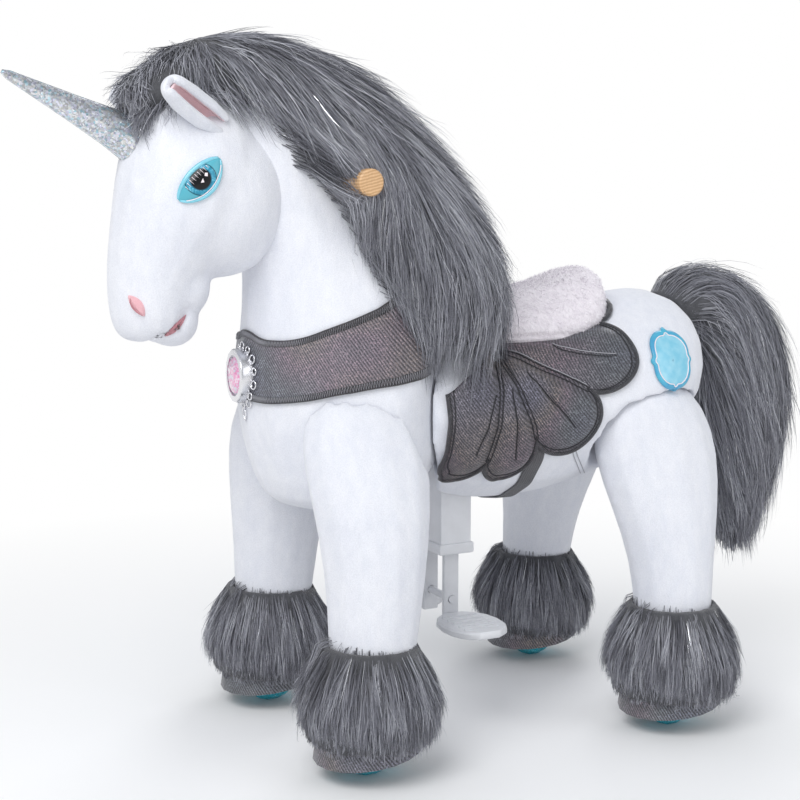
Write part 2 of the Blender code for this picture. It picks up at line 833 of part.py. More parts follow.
def build_hoof(tag, x, y, tube_hole):
    """A cup over the wheel whose rim is low at the toe and rises to the heel."""
    block = hoof_block(tag, x, y)
    inner = HOOF_RADIUS - HOOF_WALL
    inner_top = HOOF_TOP_RADIUS - HOOF_WALL
    profile = [(0, HOOF_TOP - HOOF_WALL), (inner_top, HOOF_TOP - HOOF_WALL),
               (inner, HOOF_TOE_HEIGHT), (inner, HOOF_TOE_HEIGHT - OVERRUN),
               (0, HOOF_TOE_HEIGHT - OVERRUN)]
    hollow = turned(f"hoof_hollow_{tag}", profile, ROUND_STEPS, Matrix.Translation((x, y, 0)))
    hoof = copy_of(block, f"hoof_{tag}")
    slope = math.atan2(HOOF_HEEL_RISE, HOOF_RADIUS * 2)
    trim = box(f"hoof_trim_{tag}", (-HOOF_RADIUS * 2, -HOOF_RADIUS * 2, -HOOF_RADIUS),
               (HOOF_RADIUS * 2, HOOF_RADIUS * 2, 0))
    toe = Vector((x, y - HOOF_RADIUS, HOOF_TOE_HEIGHT + CLEARANCE))
    trim.data.transform(Matrix.Translation(toe) @ Matrix.Rotation(slope, 4, "X"))
    cut(hoof, hollow, trim, tube_hole)
    return block


def build_cuff(tag, x, y, leg, block):
    """The skirt of long fur that hides the joint between leg and hoof."""
    middle = (CUFF_FULL_HEIGHT + CUFF_TOP_HEIGHT) / 2
    middle_radius = (CUFF_RADIUS * 2 + CUFF_TOP_RADIUS) / 3
    core = HOOF_TOP_RADIUS / 2
    profile = [(core, CUFF_TOP_HEIGHT), (CUFF_TOP_RADIUS, CUFF_TOP_HEIGHT), (middle_radius, middle),
               (CUFF_RADIUS, CUFF_FULL_HEIGHT), (CUFF_HEM_RADIUS, CUFF_HEM_HEIGHT), (core, CUFF_HEM_HEIGHT)]
    cuff = turned(f"cuff_{tag}", profile, FURRED_STEPS, Matrix.Translation((x, y, 0)))
    return seat(cuff, leg, block)


# Steel frame

def build_front_fork():
    """Stem, crossbar and two legs, with the wheel brackets and the handle's sleeve welded on."""
    yoke = BACKBONE_Z - HEAD_TUBE_HEIGHT / 2 - BUSH_FLANGE - CLEARANCE * 2 - FORK_TUBE_RADIUS
    x = FRONT_TRACK / 2
    foot = BRACKET_TOP - WELD_LAP
    bend = FORK_TUBE_RADIUS * 2
    points = [(x, STEER_Y, foot), (x, STEER_Y, yoke - bend), (x - bend / 4, STEER_Y, yoke - bend / 4),
              (x - bend, STEER_Y, yoke)]
    points += [(-px, py, pz) for px, py, pz in reversed(points)]
    legs = tube("front_fork", points, FORK_TUBE_RADIUS)
    top = HANDLE_HEIGHT - HANDLE_RADIUS - HANDLE_SLEEVE_WALL / 2
    stem = rod("stem", (0, STEER_Y, yoke), (0, STEER_Y, top), FORK_TUBE_RADIUS)
    collar_low = BACKBONE_Z + HEAD_TUBE_HEIGHT / 2 + CLEARANCE
    stem_collar = rod("stem_collar", (0, STEER_Y, collar_low),
                      (0, STEER_Y, collar_low + STEM_COLLAR_HEIGHT), HEAD_TUBE_RADIUS)
    half = HANDLE_SLEEVE_LENGTH / 2
    bore = clear_hole(HANDLE_RADIUS)
    sleeve = washer("handle_sleeve", bore, bore + HANDLE_SLEEVE_WALL,
                    (-half, STEER_Y, HANDLE_HEIGHT), (half, STEER_Y, HANDLE_HEIGHT))
    fork = fuse("front_fork", legs, stem, stem_collar, sleeve, bracket("front_left", x, STEER_Y),
                bracket("front_right", -x, STEER_Y))
    return fork


def build_hind_tube(side, sign):
    """From the hub on the hip shaft down to the wheel bracket."""
    hub_x = sign * (HIP_SHAFT_REACH - HIP_HUB_LENGTH / 2)
    foot_x = sign * REAR_TRACK / 2
    foot = BRACKET_TOP - WELD_LAP
    knee = BRACKET_TOP + HIND_TUBE_RADIUS * 3
    top = HIP_HEIGHT + HIP_HUB_RADIUS - HIND_TUBE_RADIUS
    points = [(hub_x, HIP_Y, top), (foot_x, REAR_AXLE_Y, knee), (foot_x, REAR_AXLE_Y, foot)]
    leg = tube(f"hind_tube_{side}", points, HIND_TUBE_RADIUS)
    inner = sign * (HIP_SHAFT_REACH - HIP_HUB_LENGTH)
    outer = sign * HIP_SHAFT_REACH
    hub = rod(f"hip_hub_{side}", (inner, HIP_Y, HIP_HEIGHT), (outer, HIP_Y, HIP_HEIGHT), HIP_HUB_RADIUS)
    made = fuse(f"hind_tube_{side}", leg, hub, bracket(f"hind_{side}", foot_x, REAR_AXLE_Y))
    hole = rod(f"hip_hole_{side}", (-HIP_SHAFT_REACH - OVERRUN, HIP_Y, HIP_HEIGHT),
               (HIP_SHAFT_REACH + OVERRUN, HIP_Y, HIP_HEIGHT), clear_hole(HIP_SHAFT_RADIUS))
    return cut(made, hole)


def plate_inside():
    return PLATE_SPACING / 2


def stem_bush_outer():
    return clear_hole(FORK_TUBE_RADIUS) + BUSH_WALL


def hip_bush_outer():
    return clear_hole(HIP_SHAFT_RADIUS) + HIP_BUSH_WALL


def build_chassis():
    """Two pierced side plates tied by cross tubes, with the arm and head tube in front."""
    top = BACKBONE_Z + PLATE_HALF_HEIGHT
    front = BAR_Y - HOUSING_DEPTH / 2
    heel = BAR_Y + HOUSING_DEPTH / 2
    bottom = HOUSING_TOP + CLEARANCE
    waist = HIP_HEIGHT - PLATE_WAIST_DROP
    boss = arc((HIP_Y, HIP_HEIGHT), PLATE_BOSS_RADIUS, -90, 60, ARC_STEPS)
    shoulder = HIP_Y - REAR_TUBE_ADVANCE / 2
    outline = [(front, top), (front, bottom), (heel, bottom), (heel + PLATE_WAIST_DROP, waist),
               *boss, (shoulder, top)]
    hip_hole = circle((HIP_Y, HIP_HEIGHT), clear_hole(hip_bush_outer()))
    hole_z = (top + waist) / 2
    holes = [circle((CRANK_PIN_Y + offset, hole_z), LIGHTENING_HOLE_RADIUS)
             for offset in (0, LIGHTENING_HOLE_SPACING)]
    centre = plate_inside() + PLATE_THICKNESS / 2
    plates = [plate(f"side_plate_{index}", [outline, hip_hole, *holes], PLATE_THICKNESS, x)
              for index, x in enumerate((centre, -centre))]
    reach = plate_inside() + WELD_LAP
    front_tube_y = front + CROSS_TUBE_SETBACK
    slope = (CRANK_HUB_RADIUS - CRANK_HALF_HEIGHT) / CRANK_LENGTH
    stop_drop = (CRANK_HUB_RADIUS - slope * STOP_BAR_SETBACK
                 + (STOP_BAR_RADIUS + CLEARANCE) * math.hypot(UNIT, slope))
    places = [("front_tube", front_tube_y, BACKBONE_Z + WELD_LAP, CROSS_TUBE_RADIUS),
              ("rear_tube", HIP_Y - REAR_TUBE_ADVANCE, BACKBONE_Z + WELD_LAP, CROSS_TUBE_RADIUS),
              ("rocker_pin", ROCKER_Y, HIP_HEIGHT, ROCKER_PIN_RADIUS),
              ("stop_bar", HIP_Y - STOP_BAR_SETBACK, HIP_HEIGHT - stop_drop, STOP_BAR_RADIUS)]
    tubes = [rod(name, (-reach, y, z), (reach, y, z), radius) for name, y, z, radius in places]
    half = HEAD_TUBE_HEIGHT / 2
    bore = clear_hole(stem_bush_outer())
    head_tube = washer("head_tube", bore, HEAD_TUBE_RADIUS, (0, STEER_Y, BACKBONE_Z - half),
                       (0, STEER_Y, BACKBONE_Z + half))
    arm = box("arm", (-ARM_WIDTH / 2, STEER_Y + (bore + HEAD_TUBE_RADIUS) / 2, BACKBONE_Z - ARM_HEIGHT / 2),
              (ARM_WIDTH / 2, front_tube_y, BACKBONE_Z + ARM_HEIGHT / 2), WELD_LAP)
    return fuse("chassis_frame", tubes[0], plates[0], plates[1], *tubes[1:], arm, head_tube)


def build_head_tube_bush():
    inner = clear_hole(FORK_TUBE_RADIUS)
    outer = stem_bush_outer()
    low = BACKBONE_Z - HEAD_TUBE_HEIGHT / 2 - CLEARANCE
    high = BACKBONE_Z + HEAD_TUBE_HEIGHT / 2
    flange = outer + BUSH_FLANGE_REACH
    profile = [(outer, high), (outer, low), (flange, low), (flange, low - BUSH_FLANGE),
               (inner, low - BUSH_FLANGE), (inner, high)]
    turned("head_tube_bush", profile, SMALL_STEPS, Matrix.Translation((0, STEER_Y, 0)))


def build_hip_bush(side, sign):
    """A flanged sleeve in the side plate's hole; the flange keeps the hind tube's hub off the plate."""
    inner = clear_hole(HIP_SHAFT_RADIUS)
    outer = hip_bush_outer()
    face = plate_inside() + PLATE_THICKNESS + CLEARANCE
    start = face + BUSH_FLANGE - HIP_BUSH_LENGTH
    flange = outer + BUSH_FLANGE_REACH
    profile = [(outer, start), (inner, start), (inner, face + BUSH_FLANGE), (flange, face + BUSH_FLANGE),
               (flange, face), (outer, face)]
    turn = Matrix.Rotation(sign * math.pi / 2, 4, "Y")
    turned(f"hip_bush_{side}", profile, SMALL_STEPS, Matrix.Translation((0, HIP_Y, HIP_HEIGHT)) @ turn)


def build_hip_crankshaft():
    """The hip shaft with two crank arms and the pin that lies in the rocker's rear slot."""
    shaft = rod("hip_crankshaft", (-HIP_SHAFT_REACH, HIP_Y, HIP_HEIGHT),
                (HIP_SHAFT_REACH, HIP_Y, HIP_HEIGHT), HIP_SHAFT_RADIUS)
    centre = ROCKER_THICKNESS / 2 + CRANK_GAP + CRANK_PLATE / 2
    outline = (arc((HIP_Y, HIP_HEIGHT), CRANK_HUB_RADIUS, -100, 100, ARC_STEPS)
               + arc((CRANK_PIN_Y, HIP_HEIGHT), CRANK_HALF_HEIGHT, 90, 270, ARC_STEPS))
    arms = [plate(f"crank_arm_{index}", [outline], CRANK_PLATE, x)
            for index, x in enumerate((centre, -centre))]
    reach = centre + CRANK_PLATE / 2 + CRANK_GAP
    pin = rod("crank_pin", (-reach, CRANK_PIN_Y, HIP_HEIGHT), (reach, CRANK_PIN_Y, HIP_HEIGHT),
              LINK_PIN_RADIUS)
    return fuse("hip_crankshaft", shaft, *arms, pin)


def rocker_slot(reach_at_rest, reach_at_end):
    """Centre and half length of a slot that holds the pin from rest to full travel."""
    near = min(reach_at_rest, reach_at_end) - LINK_PIN_RADIUS - SLOT_PLAY
    far = max(reach_at_rest, reach_at_end) + LINK_PIN_RADIUS + SLOT_PLAY
    return (near + far) / 2, (far - near) / 2


def build_rocker():
    """A forged lever with a slot at each end, one for the pedal carriage and one for the cranks."""
    front_far = ROCKER_FRONT_ARM / math.cos(ROCKER_RANGE)
    rear_far = math.hypot(ROCKER_REAR_ARM + CRANK_DRAW, CRANK_LIFT)
    front_centre, front_half = rocker_slot(ROCKER_FRONT_ARM, front_far)
    rear_centre, rear_half = rocker_slot(ROCKER_REAR_ARM, rear_far)
    half_width = LINK_PIN_RADIUS + SLOT_PLAY
    wall = ROCKER_HALF_HEIGHT - half_width
    front_end = ROCKER_Y - front_centre - front_half + ROCKER_HALF_HEIGHT - wall
    rear_end = ROCKER_Y + rear_centre + rear_half - ROCKER_HALF_HEIGHT + wall
    outline = (arc((rear_end, HIP_HEIGHT), ROCKER_HALF_HEIGHT, -90, 90, ARC_STEPS)
               + arc((ROCKER_Y, HIP_HEIGHT), ROCKER_BOSS_RADIUS, 50, 130, BOSS_STEPS)
               + arc((front_end, HIP_HEIGHT), ROCKER_HALF_HEIGHT, 90, 270, ARC_STEPS)
               + arc((ROCKER_Y, HIP_HEIGHT), ROCKER_BOSS_RADIUS, 230, 310, BOSS_STEPS))
    holes = [slot((ROCKER_Y - front_centre, HIP_HEIGHT), front_half, half_width),
             slot((ROCKER_Y + rear_centre, HIP_HEIGHT), rear_half, half_width),
             circle((ROCKER_Y, HIP_HEIGHT), clear_hole(ROCKER_PIN_RADIUS))]
    plate("rocker", [outline, *holes], ROCKER_THICKNESS, 0)


# Pedals

def build_pedal_carriage():
    """Two flat bars that slide in the housing, the pin at their top and the pedals at their foot."""
    half = PEDAL_BAR_THICKNESS / 2
    inside = PEDAL_BAR_SPACING / 2 - half
    outside = inside + PEDAL_BAR_THICKNESS
    top = HIP_HEIGHT + PEDAL_BAR_OVER_PIN
    low = Vector((inside, BAR_Y - PEDAL_BAR_WIDTH / 2, PEDAL_BAR_BOTTOM))
    high = Vector((outside, BAR_Y + PEDAL_BAR_WIDTH / 2, top))
    left = box("pedal_bar_left", low, high, half / 2)
    holes = [rod(f"bar_hole_{index}", (0, BAR_Y, z), (outside + OVERRUN, BAR_Y, z), clear_hole(radius))
             for index, (z, radius) in enumerate(((HIP_HEIGHT, LINK_PIN_RADIUS),
                                                  (CROSS_ROD_HEIGHT, CROSS_ROD_RADIUS)))]
    cut(left, *holes)
    mirrored(left, "pedal_bar_right")
    reach = outside + PEDAL_BAR_THICKNESS / 4
    rod("carriage_pin", (-reach, BAR_Y, HIP_HEIGHT), (reach, BAR_Y, HIP_HEIGHT), LINK_PIN_RADIUS)
    rod("pedal_cross_rod", (-reach, BAR_Y, CROSS_ROD_HEIGHT), (reach, BAR_Y, CROSS_ROD_HEIGHT),
        CROSS_ROD_RADIUS)
    pedal = build_pedal(left, outside)
    mirrored(pedal, "pedal_right")


PEDAL_OUTLINE_SHARES = ((0.0, 0.34), (0.10, 0.66), (0.28, 0.92), (0.50, 1.0), (0.72, 0.94), (0.90, 0.72),
                        (1.0, 0.36))


def build_pedal(bar, outside):
    """A paddle with a ribbed tread, narrow at the bar and broad under the foot."""
    start = outside + CLEARANCE
    edge = [(start + along * PEDAL_LENGTH, BAR_Y + PEDAL_WIDTH / 2 * out)
            for along, out in PEDAL_OUTLINE_SHARES]
    edge += [(x, BAR_Y * 2 - y) for x, y in reversed(edge)]
    low = PEDAL_HEIGHT - PEDAL_RIB_HEIGHT - PEDAL_THICKNESS
    pedal = prism("pedal_left", edge, low, low + PEDAL_THICKNESS)
    rounding = pedal.modifiers.new("rounded_edges", "BEVEL")
    rounding.width = PEDAL_THICKNESS / 4
    rounding.limit_method = "ANGLE"
    bake(pedal)
    pitch = PEDAL_LENGTH / (PEDAL_RIB_COUNT + 2)
    half = PEDAL_WIDTH / 2 * PEDAL_RIB_REACH_SHARE
    foot = PEDAL_HEIGHT - WELD_LAP * 2
    ribs = []
    for index in range(PEDAL_RIB_COUNT):
        x = start + pitch * (index + PEDAL_RIB_START_SHARE)
        ribs.append(box(f"tread_rib_{index}", (x - PEDAL_RIB_WIDTH / 2, BAR_Y - half, foot),
                        (x + PEDAL_RIB_WIDTH / 2, BAR_Y + half, PEDAL_HEIGHT)))
    fuse("pedal_left", pedal, *ribs)
    return seat(pedal, bar, bpy.data.objects["pedal_cross_rod"])


def build_housing():
    """The box under the belly that guides the bars, open at the top and slotted at the bottom."""
    half_x = HOUSING_WIDTH / 2
    half_y = HOUSING_DEPTH / 2
    body = box("pedal_housing", (-half_x, BAR_Y - half_y, HOUSING_BOTTOM),
               (half_x, BAR_Y + half_y, HOUSING_TOP))
    flange = box("flange", (-half_x - HOUSING_FLANGE, BAR_Y - half_y - HOUSING_FLANGE, HOUSING_BOTTOM),
                 (half_x + HOUSING_FLANGE, BAR_Y + half_y + HOUSING_FLANGE,
                  HOUSING_BOTTOM + HOUSING_FLANGE_HEIGHT))
    lip_low = HOUSING_TOP - HOUSING_WALL
    lip = box("lip", (-half_x - HOUSING_LIP, BAR_Y - half_y, lip_low),
              (half_x + HOUSING_LIP, BAR_Y + half_y, HOUSING_TOP))
    for piece in (body, flange):
        rounding = piece.modifiers.new("round_corners", "BEVEL")
        rounding.width = HOUSING_CORNER / 2
        rounding.segments = ROUNDING_STEPS
        bake(piece)
    body = fuse("pedal_housing", body, flange, lip)
    hollow = box("housing_hollow", (-half_x + HOUSING_WALL, BAR_Y - half_y + HOUSING_WALL,
                                    HOUSING_BOTTOM + HOUSING_WALL * 2),
                 (half_x - HOUSING_WALL, BAR_Y + half_y - HOUSING_WALL, HOUSING_TOP + OVERRUN))
    inside = PEDAL_BAR_SPACING / 2 - PEDAL_BAR_THICKNESS / 2 - CLEARANCE
    outside = inside + PEDAL_BAR_THICKNESS + CLEARANCE * 2
    half_bar = PEDAL_BAR_WIDTH / 2 + CLEARANCE
    slots = [box(f"bar_slot_{sign}", (min(sign * inside, sign * outside), BAR_Y - half_bar,
                                      HOUSING_BOTTOM - OVERRUN),
                 (max(sign * inside, sign * outside), BAR_Y + half_bar, HOUSING_TOP))
             for sign in (-1, 1)]
    return cut(body, hollow, *slots)


# Stuffed trunk, neck, head and limbs

# Share of the length from the shoulder, of the half width, and of the height at belly and back
TRUNK_RING_SHARES = ((0.0, 0.74, 0.18, 0.80), (0.13, 0.93, 0.05, 0.87), (0.30, 0.92, 0.0, 0.83),
                     (0.48, 0.92, 0.01, 0.81), (0.63, 0.95, 0.08, 0.92), (0.77, 1.0, 0.15, 1.0),
                     (0.89, 0.90, 0.24, 1.0), (0.97, 0.62, 0.36, 0.92), (1.0, 0.32, 0.48, 0.82))


def trunk_section(y):
    """Middle height, half height and half width of the trunk at a place along it."""
    start = STEER_Y + SHOULDER_SETBACK
    along = (y - start) / (REAR_AXLE_Y + RUMP_OVERHANG - start)
    stations = [share[0] for share in TRUNK_RING_SHARES]
    width, low, high = [float(np.interp(along, stations, [share[column] for share in TRUNK_RING_SHARES]))
                        for column in (1, 2, 3)]
    height = BELLY_DROP + CROUP_RISE
    middle = HIP_HEIGHT - BELLY_DROP + height * (low + high) / 2
    return middle, height * (high - low) / 2, TRUNK_HALF_WIDTH * width


def drape_on_trunk(tree, y, z):
    """The point of the trunk's left side that a side view shows at (y, z)."""
    middle, half_height, half_width = trunk_section(y)
    up = max(-DRAPE_LIMIT_SHARE, min(DRAPE_LIMIT_SHARE, (z - middle) / half_height))
    out = Vector((half_width * math.sqrt(1 - up * up), 0, half_height * up))
    centre = Vector((0, y, middle))
    return reach_surface(tree, centre + out * OUTSIDE_SHARE, -out)[0]


def build_trunk_form():
    start = STEER_Y + SHOULDER_SETBACK
    length = REAR_AXLE_Y + RUMP_OVERHANG - start
    bottom = HIP_HEIGHT - BELLY_DROP
    height = BELLY_DROP + CROUP_RISE
    rings = []
    for along, width, low, high in TRUNK_RING_SHARES:
        middle = bottom + height * (low + high) / 2
        half = height * (high - low) / 2
        rings.append((0, start + length * along, middle, TRUNK_HALF_WIDTH * width, half, math.pi / 2))
    return stuffed("trunk_form", rings)


# Share of the height from chest to poll, of the half width, of the half depth, and of the head's
# advance that the section leans by; a negative lean lies behind the steering axis
NECK_RING_SHARES = ((0.0, 0.55, 0.52, -0.12), (0.085, 0.84, 0.82, -0.26), (0.21, 0.99, 0.97, -0.29),
                    (0.34, 0.96, 1.0, -0.29), (0.49, 0.80, 0.86, -0.235), (0.64, 0.66, 0.73, -0.095),
                    (0.79, 0.57, 0.70, 0.105), (0.91, 0.48, 0.58, 0.365), (1.0, 0.32, 0.35, 0.525))


def build_neck_form():
    height = NECK_TOP - CHEST_BOTTOM
    rings = [(0, STEER_Y - lean * HEAD_ADVANCE, CHEST_BOTTOM + height * up, CHEST_HALF_WIDTH * width,
              CHEST_HALF_DEPTH * depth, 0) for up, width, depth, lean in NECK_RING_SHARES]
    return stuffed("neck_form", rings)


# Share of the head's length from the top, of its half width, of its half depth, and of the muzzle's
# advance
HEAD_RING_SHARES = ((0.0, 0.42, 0.44, -0.10), (0.10, 0.76, 0.78, 0.0), (0.27, 0.96, 0.96, 0.02),
                    (0.44, 1.0, 1.0, 0.06), (0.60, 0.80, 0.82, 0.46), (0.75, 0.62, 0.60, 0.86),
                    (0.89, 0.56, 0.50, 0.98), (0.97, 0.44, 0.40, 1.0), (1.0, 0.24, 0.24, 1.0))


def build_head_form():
    start = STEER_Y - HEAD_ADVANCE
    rings = [(0, start - MUZZLE_ADVANCE * ahead, HEAD_TOP - HEAD_LENGTH * down,
              HEAD_HALF_WIDTH * width, HEAD_HALF_DEPTH * depth, 0)
             for down, width, depth, ahead in HEAD_RING_SHARES]
    return stuffed("head_form", rings)


# Front leg: share of its height, of its inset towards the middle, of its setback, and of its half
# width and depth
FRONT_LEG_SHARES = ((0.0, 0.0, 0.0, 0.74, 0.585), (0.24, 0.01, 0.42, 0.79, 0.64),
                    (0.44, 0.04, 0.70, 0.91, 0.73), (0.62, 0.20, 0.78, 1.0, 0.85),
                    (0.80, 0.58, 0.88, 0.96, 0.98), (0.94, 0.94, 1.0, 0.74, 0.82),
                    (1.0, 1.0, 1.0, 0.44, 0.46))

# Hind leg: share of its height, of its inset, of its setback, and of its half width and depth
HIND_LEG_SHARES = ((0.0, 0.0, 0.0, 0.79, 0.52), (0.20, 0.02, 0.40, 0.81, 0.54),
                   (0.38, 0.14, 0.80, 0.86, 0.60), (0.56, 0.37, 1.0, 0.98, 0.80),
                   (0.74, 0.68, 1.0, 1.0, 1.0), (0.90, 0.91, 1.0, 0.90, 0.88),
                   (1.0, 1.0, 1.0, 0.56, 0.48))


def build_front_leg_form():
    height = FRONT_LEG_TOP - FRONT_LEG_BOTTOM
    rings = [(FRONT_TRACK / 2 - FRONT_LEG_INSET * inset, STEER_Y + FRONT_LEG_SETBACK * back,
              FRONT_LEG_BOTTOM + height * up, FRONT_LEG_HALF_WIDTH * width,
              FRONT_LEG_HALF_DEPTH * depth, 0) for up, inset, back, width, depth in FRONT_LEG_SHARES]
    return stuffed("front_leg_form", rings, LIMB_SIDES)


def build_hind_leg_form():
    height = HIND_LEG_TOP - HIND_LEG_BOTTOM
    rings = [(REAR_TRACK / 2 - HIND_LEG_INSET * inset, REAR_AXLE_Y + HIND_LEG_SETBACK * back,
              HIND_LEG_BOTTOM + height * up, HIND_LEG_HALF_WIDTH * width,
              HIND_LEG_HALF_DEPTH * depth, 0) for up, inset, back, width, depth in HIND_LEG_SHARES]
    leg = stuffed("hind_leg_form", rings, LIMB_SIDES)
    inner = box("thigh_face", (-REAR_TRACK, 0, 0), (THIGH_INNER_FACE, REAR_TRACK * 2, REAR_TRACK * 2))
    return cut(leg, inner)


def steering_drum(radius, name):
    """A tall round block about the steering axis, which parts what steers from what doesn't."""
    return rod(name, (0, STEER_Y, 0), (0, STEER_Y, NECK_TOP * 2), radius, DRUM_STEPS)


def build_trunk_shell(form, hind_form):
    """The stuffed trunk: a foam shell round the chassis, socketed for the neck and the thighs."""
    shell = copy_of(form, "trunk_shell")
    cut(shell, steering_drum(SOCKET_RADIUS + STEER_GAP, "neck_socket"))
    pivot = Vector((0, HIP_Y, HIP_HEIGHT))
    angles = (0, -SWING_RANGE)
    thigh = swept("left_thigh", [hind_form], pivot, (UNIT, 0, 0), angles, SWING_GAP, THIGH_FLOOR)
    cut(shell, thigh, mirrored(thigh, "right_thigh"))
    cavity = box("chassis_cavity", (-CAVITY_HALF_WIDTH, STEER_Y, HIP_HEIGHT - CAVITY_DEPTH),
                 (CAVITY_HALF_WIDTH, HIP_Y + CAVITY_END_MARGIN, HIP_HEIGHT + CAVITY_ROOF_RISE))
    cut(shell, cavity)
    hatch_x = HOUSING_WIDTH / 2 + CLEARANCE
    hatch = box("belly_hatch", (-hatch_x, STEER_Y, 0),
                (hatch_x, BAR_Y + HOUSING_DEPTH / 2 + CLEARANCE, HIP_HEIGHT))
    plate_room = box("plate_room", (-CAVITY_HALF_WIDTH, STEER_Y, HOUSING_TOP - HOUSING_WALL - CLEARANCE),
                     (CAVITY_HALF_WIDTH, BAR_Y + HOUSING_DEPTH / 2 + PLATE_WAIST_DROP + CLEARANCE,
                      HIP_HEIGHT))
    cut(shell, hatch, plate_room)
    reach = HIP_SHAFT_REACH + SWING_GAP
    hub_room = rod("hub_room", (-reach, HIP_Y, HIP_HEIGHT), (reach, HIP_Y, HIP_HEIGHT),
                   HIP_HUB_RADIUS + SWING_GAP)
    cut(shell, hub_room)
    return seat(shell, bpy.data.objects["saddle_board"])


def prism(name, outline, low, high):
    """An upright block from an outline of (x, y) points."""
    bm = bmesh.new()
    base = bm.faces.new([bm.verts.new((x, y, low)) for x, y in outline])
    lifted = bmesh.ops.extrude_face_region(bm, geom=[base])["geom"]
    bmesh.ops.translate(bm, vec=(0, 0, high - low),
                        verts=[item for item in lifted if isinstance(item, bmesh.types.BMVert)])
    return mesh_object(name, bm)


def arm_room():
    """Room in the chest for the chassis arm, over the whole steering range."""
    half = ARM_WIDTH / 2 + STEER_GAP
    length = SOCKET_RADIUS + OVERRUN
    far_x = half * math.cos(STEER_RANGE) + length * math.sin(STEER_RANGE)
    far_y = STEER_Y + length * math.cos(STEER_RANGE) - half * math.sin(STEER_RANGE)
    outline = [(half, STEER_Y), (far_x, far_y), (half, STEER_Y + length), (-half, STEER_Y + length),
               (-far_x, far_y), (-half, STEER_Y)]
    rise = ARM_HEIGHT / 2 + STEER_GAP
    return prism("arm_room", outline, BACKBONE_Z - rise, BACKBONE_Z + rise)


def build_neck(form, fork, handle):
    neck = copy_of(form, "neck_and_chest")
    boolean(neck, steering_drum(SOCKET_RADIUS, "neck_drum"), "INTERSECT")
    bake(neck)
    head_tube_room = rod("head_tube_room", (0, STEER_Y, BACKBONE_Z - HEAD_TUBE_HEIGHT / 2 - STEER_GAP * 2),
                         (0, STEER_Y, BACKBONE_Z + HEAD_TUBE_HEIGHT / 2 + CLEARANCE),
                         HEAD_TUBE_RADIUS + STEER_GAP)
    cut(neck, arm_room(), head_tube_room)
    seat(neck, fork, gap=FOAM_GAP)
    return seat(neck, handle)


def build_handle():
    half = HANDLE_SPAN / 2
    end = half - HANDLE_END_ROUND
    inner = HANDLE_RADIUS - HANDLE_END_ROUND
    profile = [(0, half), (inner, half), (HANDLE_RADIUS, end), (HANDLE_RADIUS, -end), (inner, -half),
               (0, -half)]
    return turned("handle_bar", profile, ROUND_STEPS,
                  Matrix.Translation((0, STEER_Y, HANDLE_HEIGHT)) @ ACROSS)


# Head trim

# Share of the horn's length from the base, and of the radius between tip and base
HORN_SHARES = ((0.0, 1.0), (0.10, 0.72), (0.24, 0.55), (0.50, 0.34), (0.78, 0.14), (0.95, 0.02))


def build_horn(head):
    """A cone that flares to its base and ends in a blunt tip."""
    spanned = HORN_BASE_RADIUS - HORN_TIP_RADIUS
    profile = [(0, HORN_LENGTH), (HORN_TIP_RADIUS / 2, HORN_LENGTH)]
    profile += [(HORN_TIP_RADIUS + spanned * wide, HORN_LENGTH * along)
                for along, wide in reversed(HORN_SHARES)]
    profile += [(HORN_BASE_RADIUS, -HORN_BASE_RADIUS / 2), (0, -HORN_BASE_RADIUS / 2)]
    base = Vector((0, STEER_Y - HEAD_ADVANCE - HORN_BASE_ADVANCE, HEAD_TOP - HORN_BASE_DROP))
    lean = Matrix.Rotation(math.pi / 2 - math.radians(HORN_PITCH_DEG), 4, "X")
    horn = turned("horn", profile, FURRED_STEPS, Matrix.Translation(base) @ lean)
    return seat(horn, head)


# Share of the ear's length, of its half width and of its thickness
EAR_SHARES = ((0.0, 0.62, 1.0), (0.30, 1.0, 1.0), (0.66, 0.80, 0.7), (0.90, 0.36, 0.5), (1.0, 0.12, 0.4))


def build_ear(head):
    """A padded leaf with a hollow front, rooted in the side of the poll."""
    rings = [(0, 0, EAR_LENGTH * up, EAR_HALF_WIDTH * width, EAR_THICKNESS * thick, 0)
             for up, width, thick in EAR_SHARES]
    ear = stuffed("ear_left", rings, LIMB_SIDES)
    root = Vector((EAR_SPREAD, STEER_Y - HEAD_ADVANCE + EAR_ADVANCE,
                   HEAD_TOP - EAR_DROP - EAR_HALF_WIDTH / 2))
    turn = (Matrix.Rotation(math.radians(EAR_PITCH_DEG), 4, "X")
            @ Matrix.Rotation(math.radians(EAR_ROLL_DEG), 4, "Y"))
    ear.matrix_world = Matrix.Translation(root) @ turn
    bake(ear)
    seat(ear, head)
    mirrored(ear, "ear_right")
    return ear


# Outline of the left eye: share of the half width towards the nose, and of the half height
EYE_OUTLINE_SHARES = ((-1.0, 0.12), (-0.66, 0.72), (-0.10, 1.0), (0.50, 0.76), (0.86, 0.30), (1.0, -0.12),
                      (0.66, -0.72), (0.10, -1.0), (-0.50, -0.76), (-0.86, -0.30))
EYE_DOME_SHARES = (1.0, 0.72, 0.36)


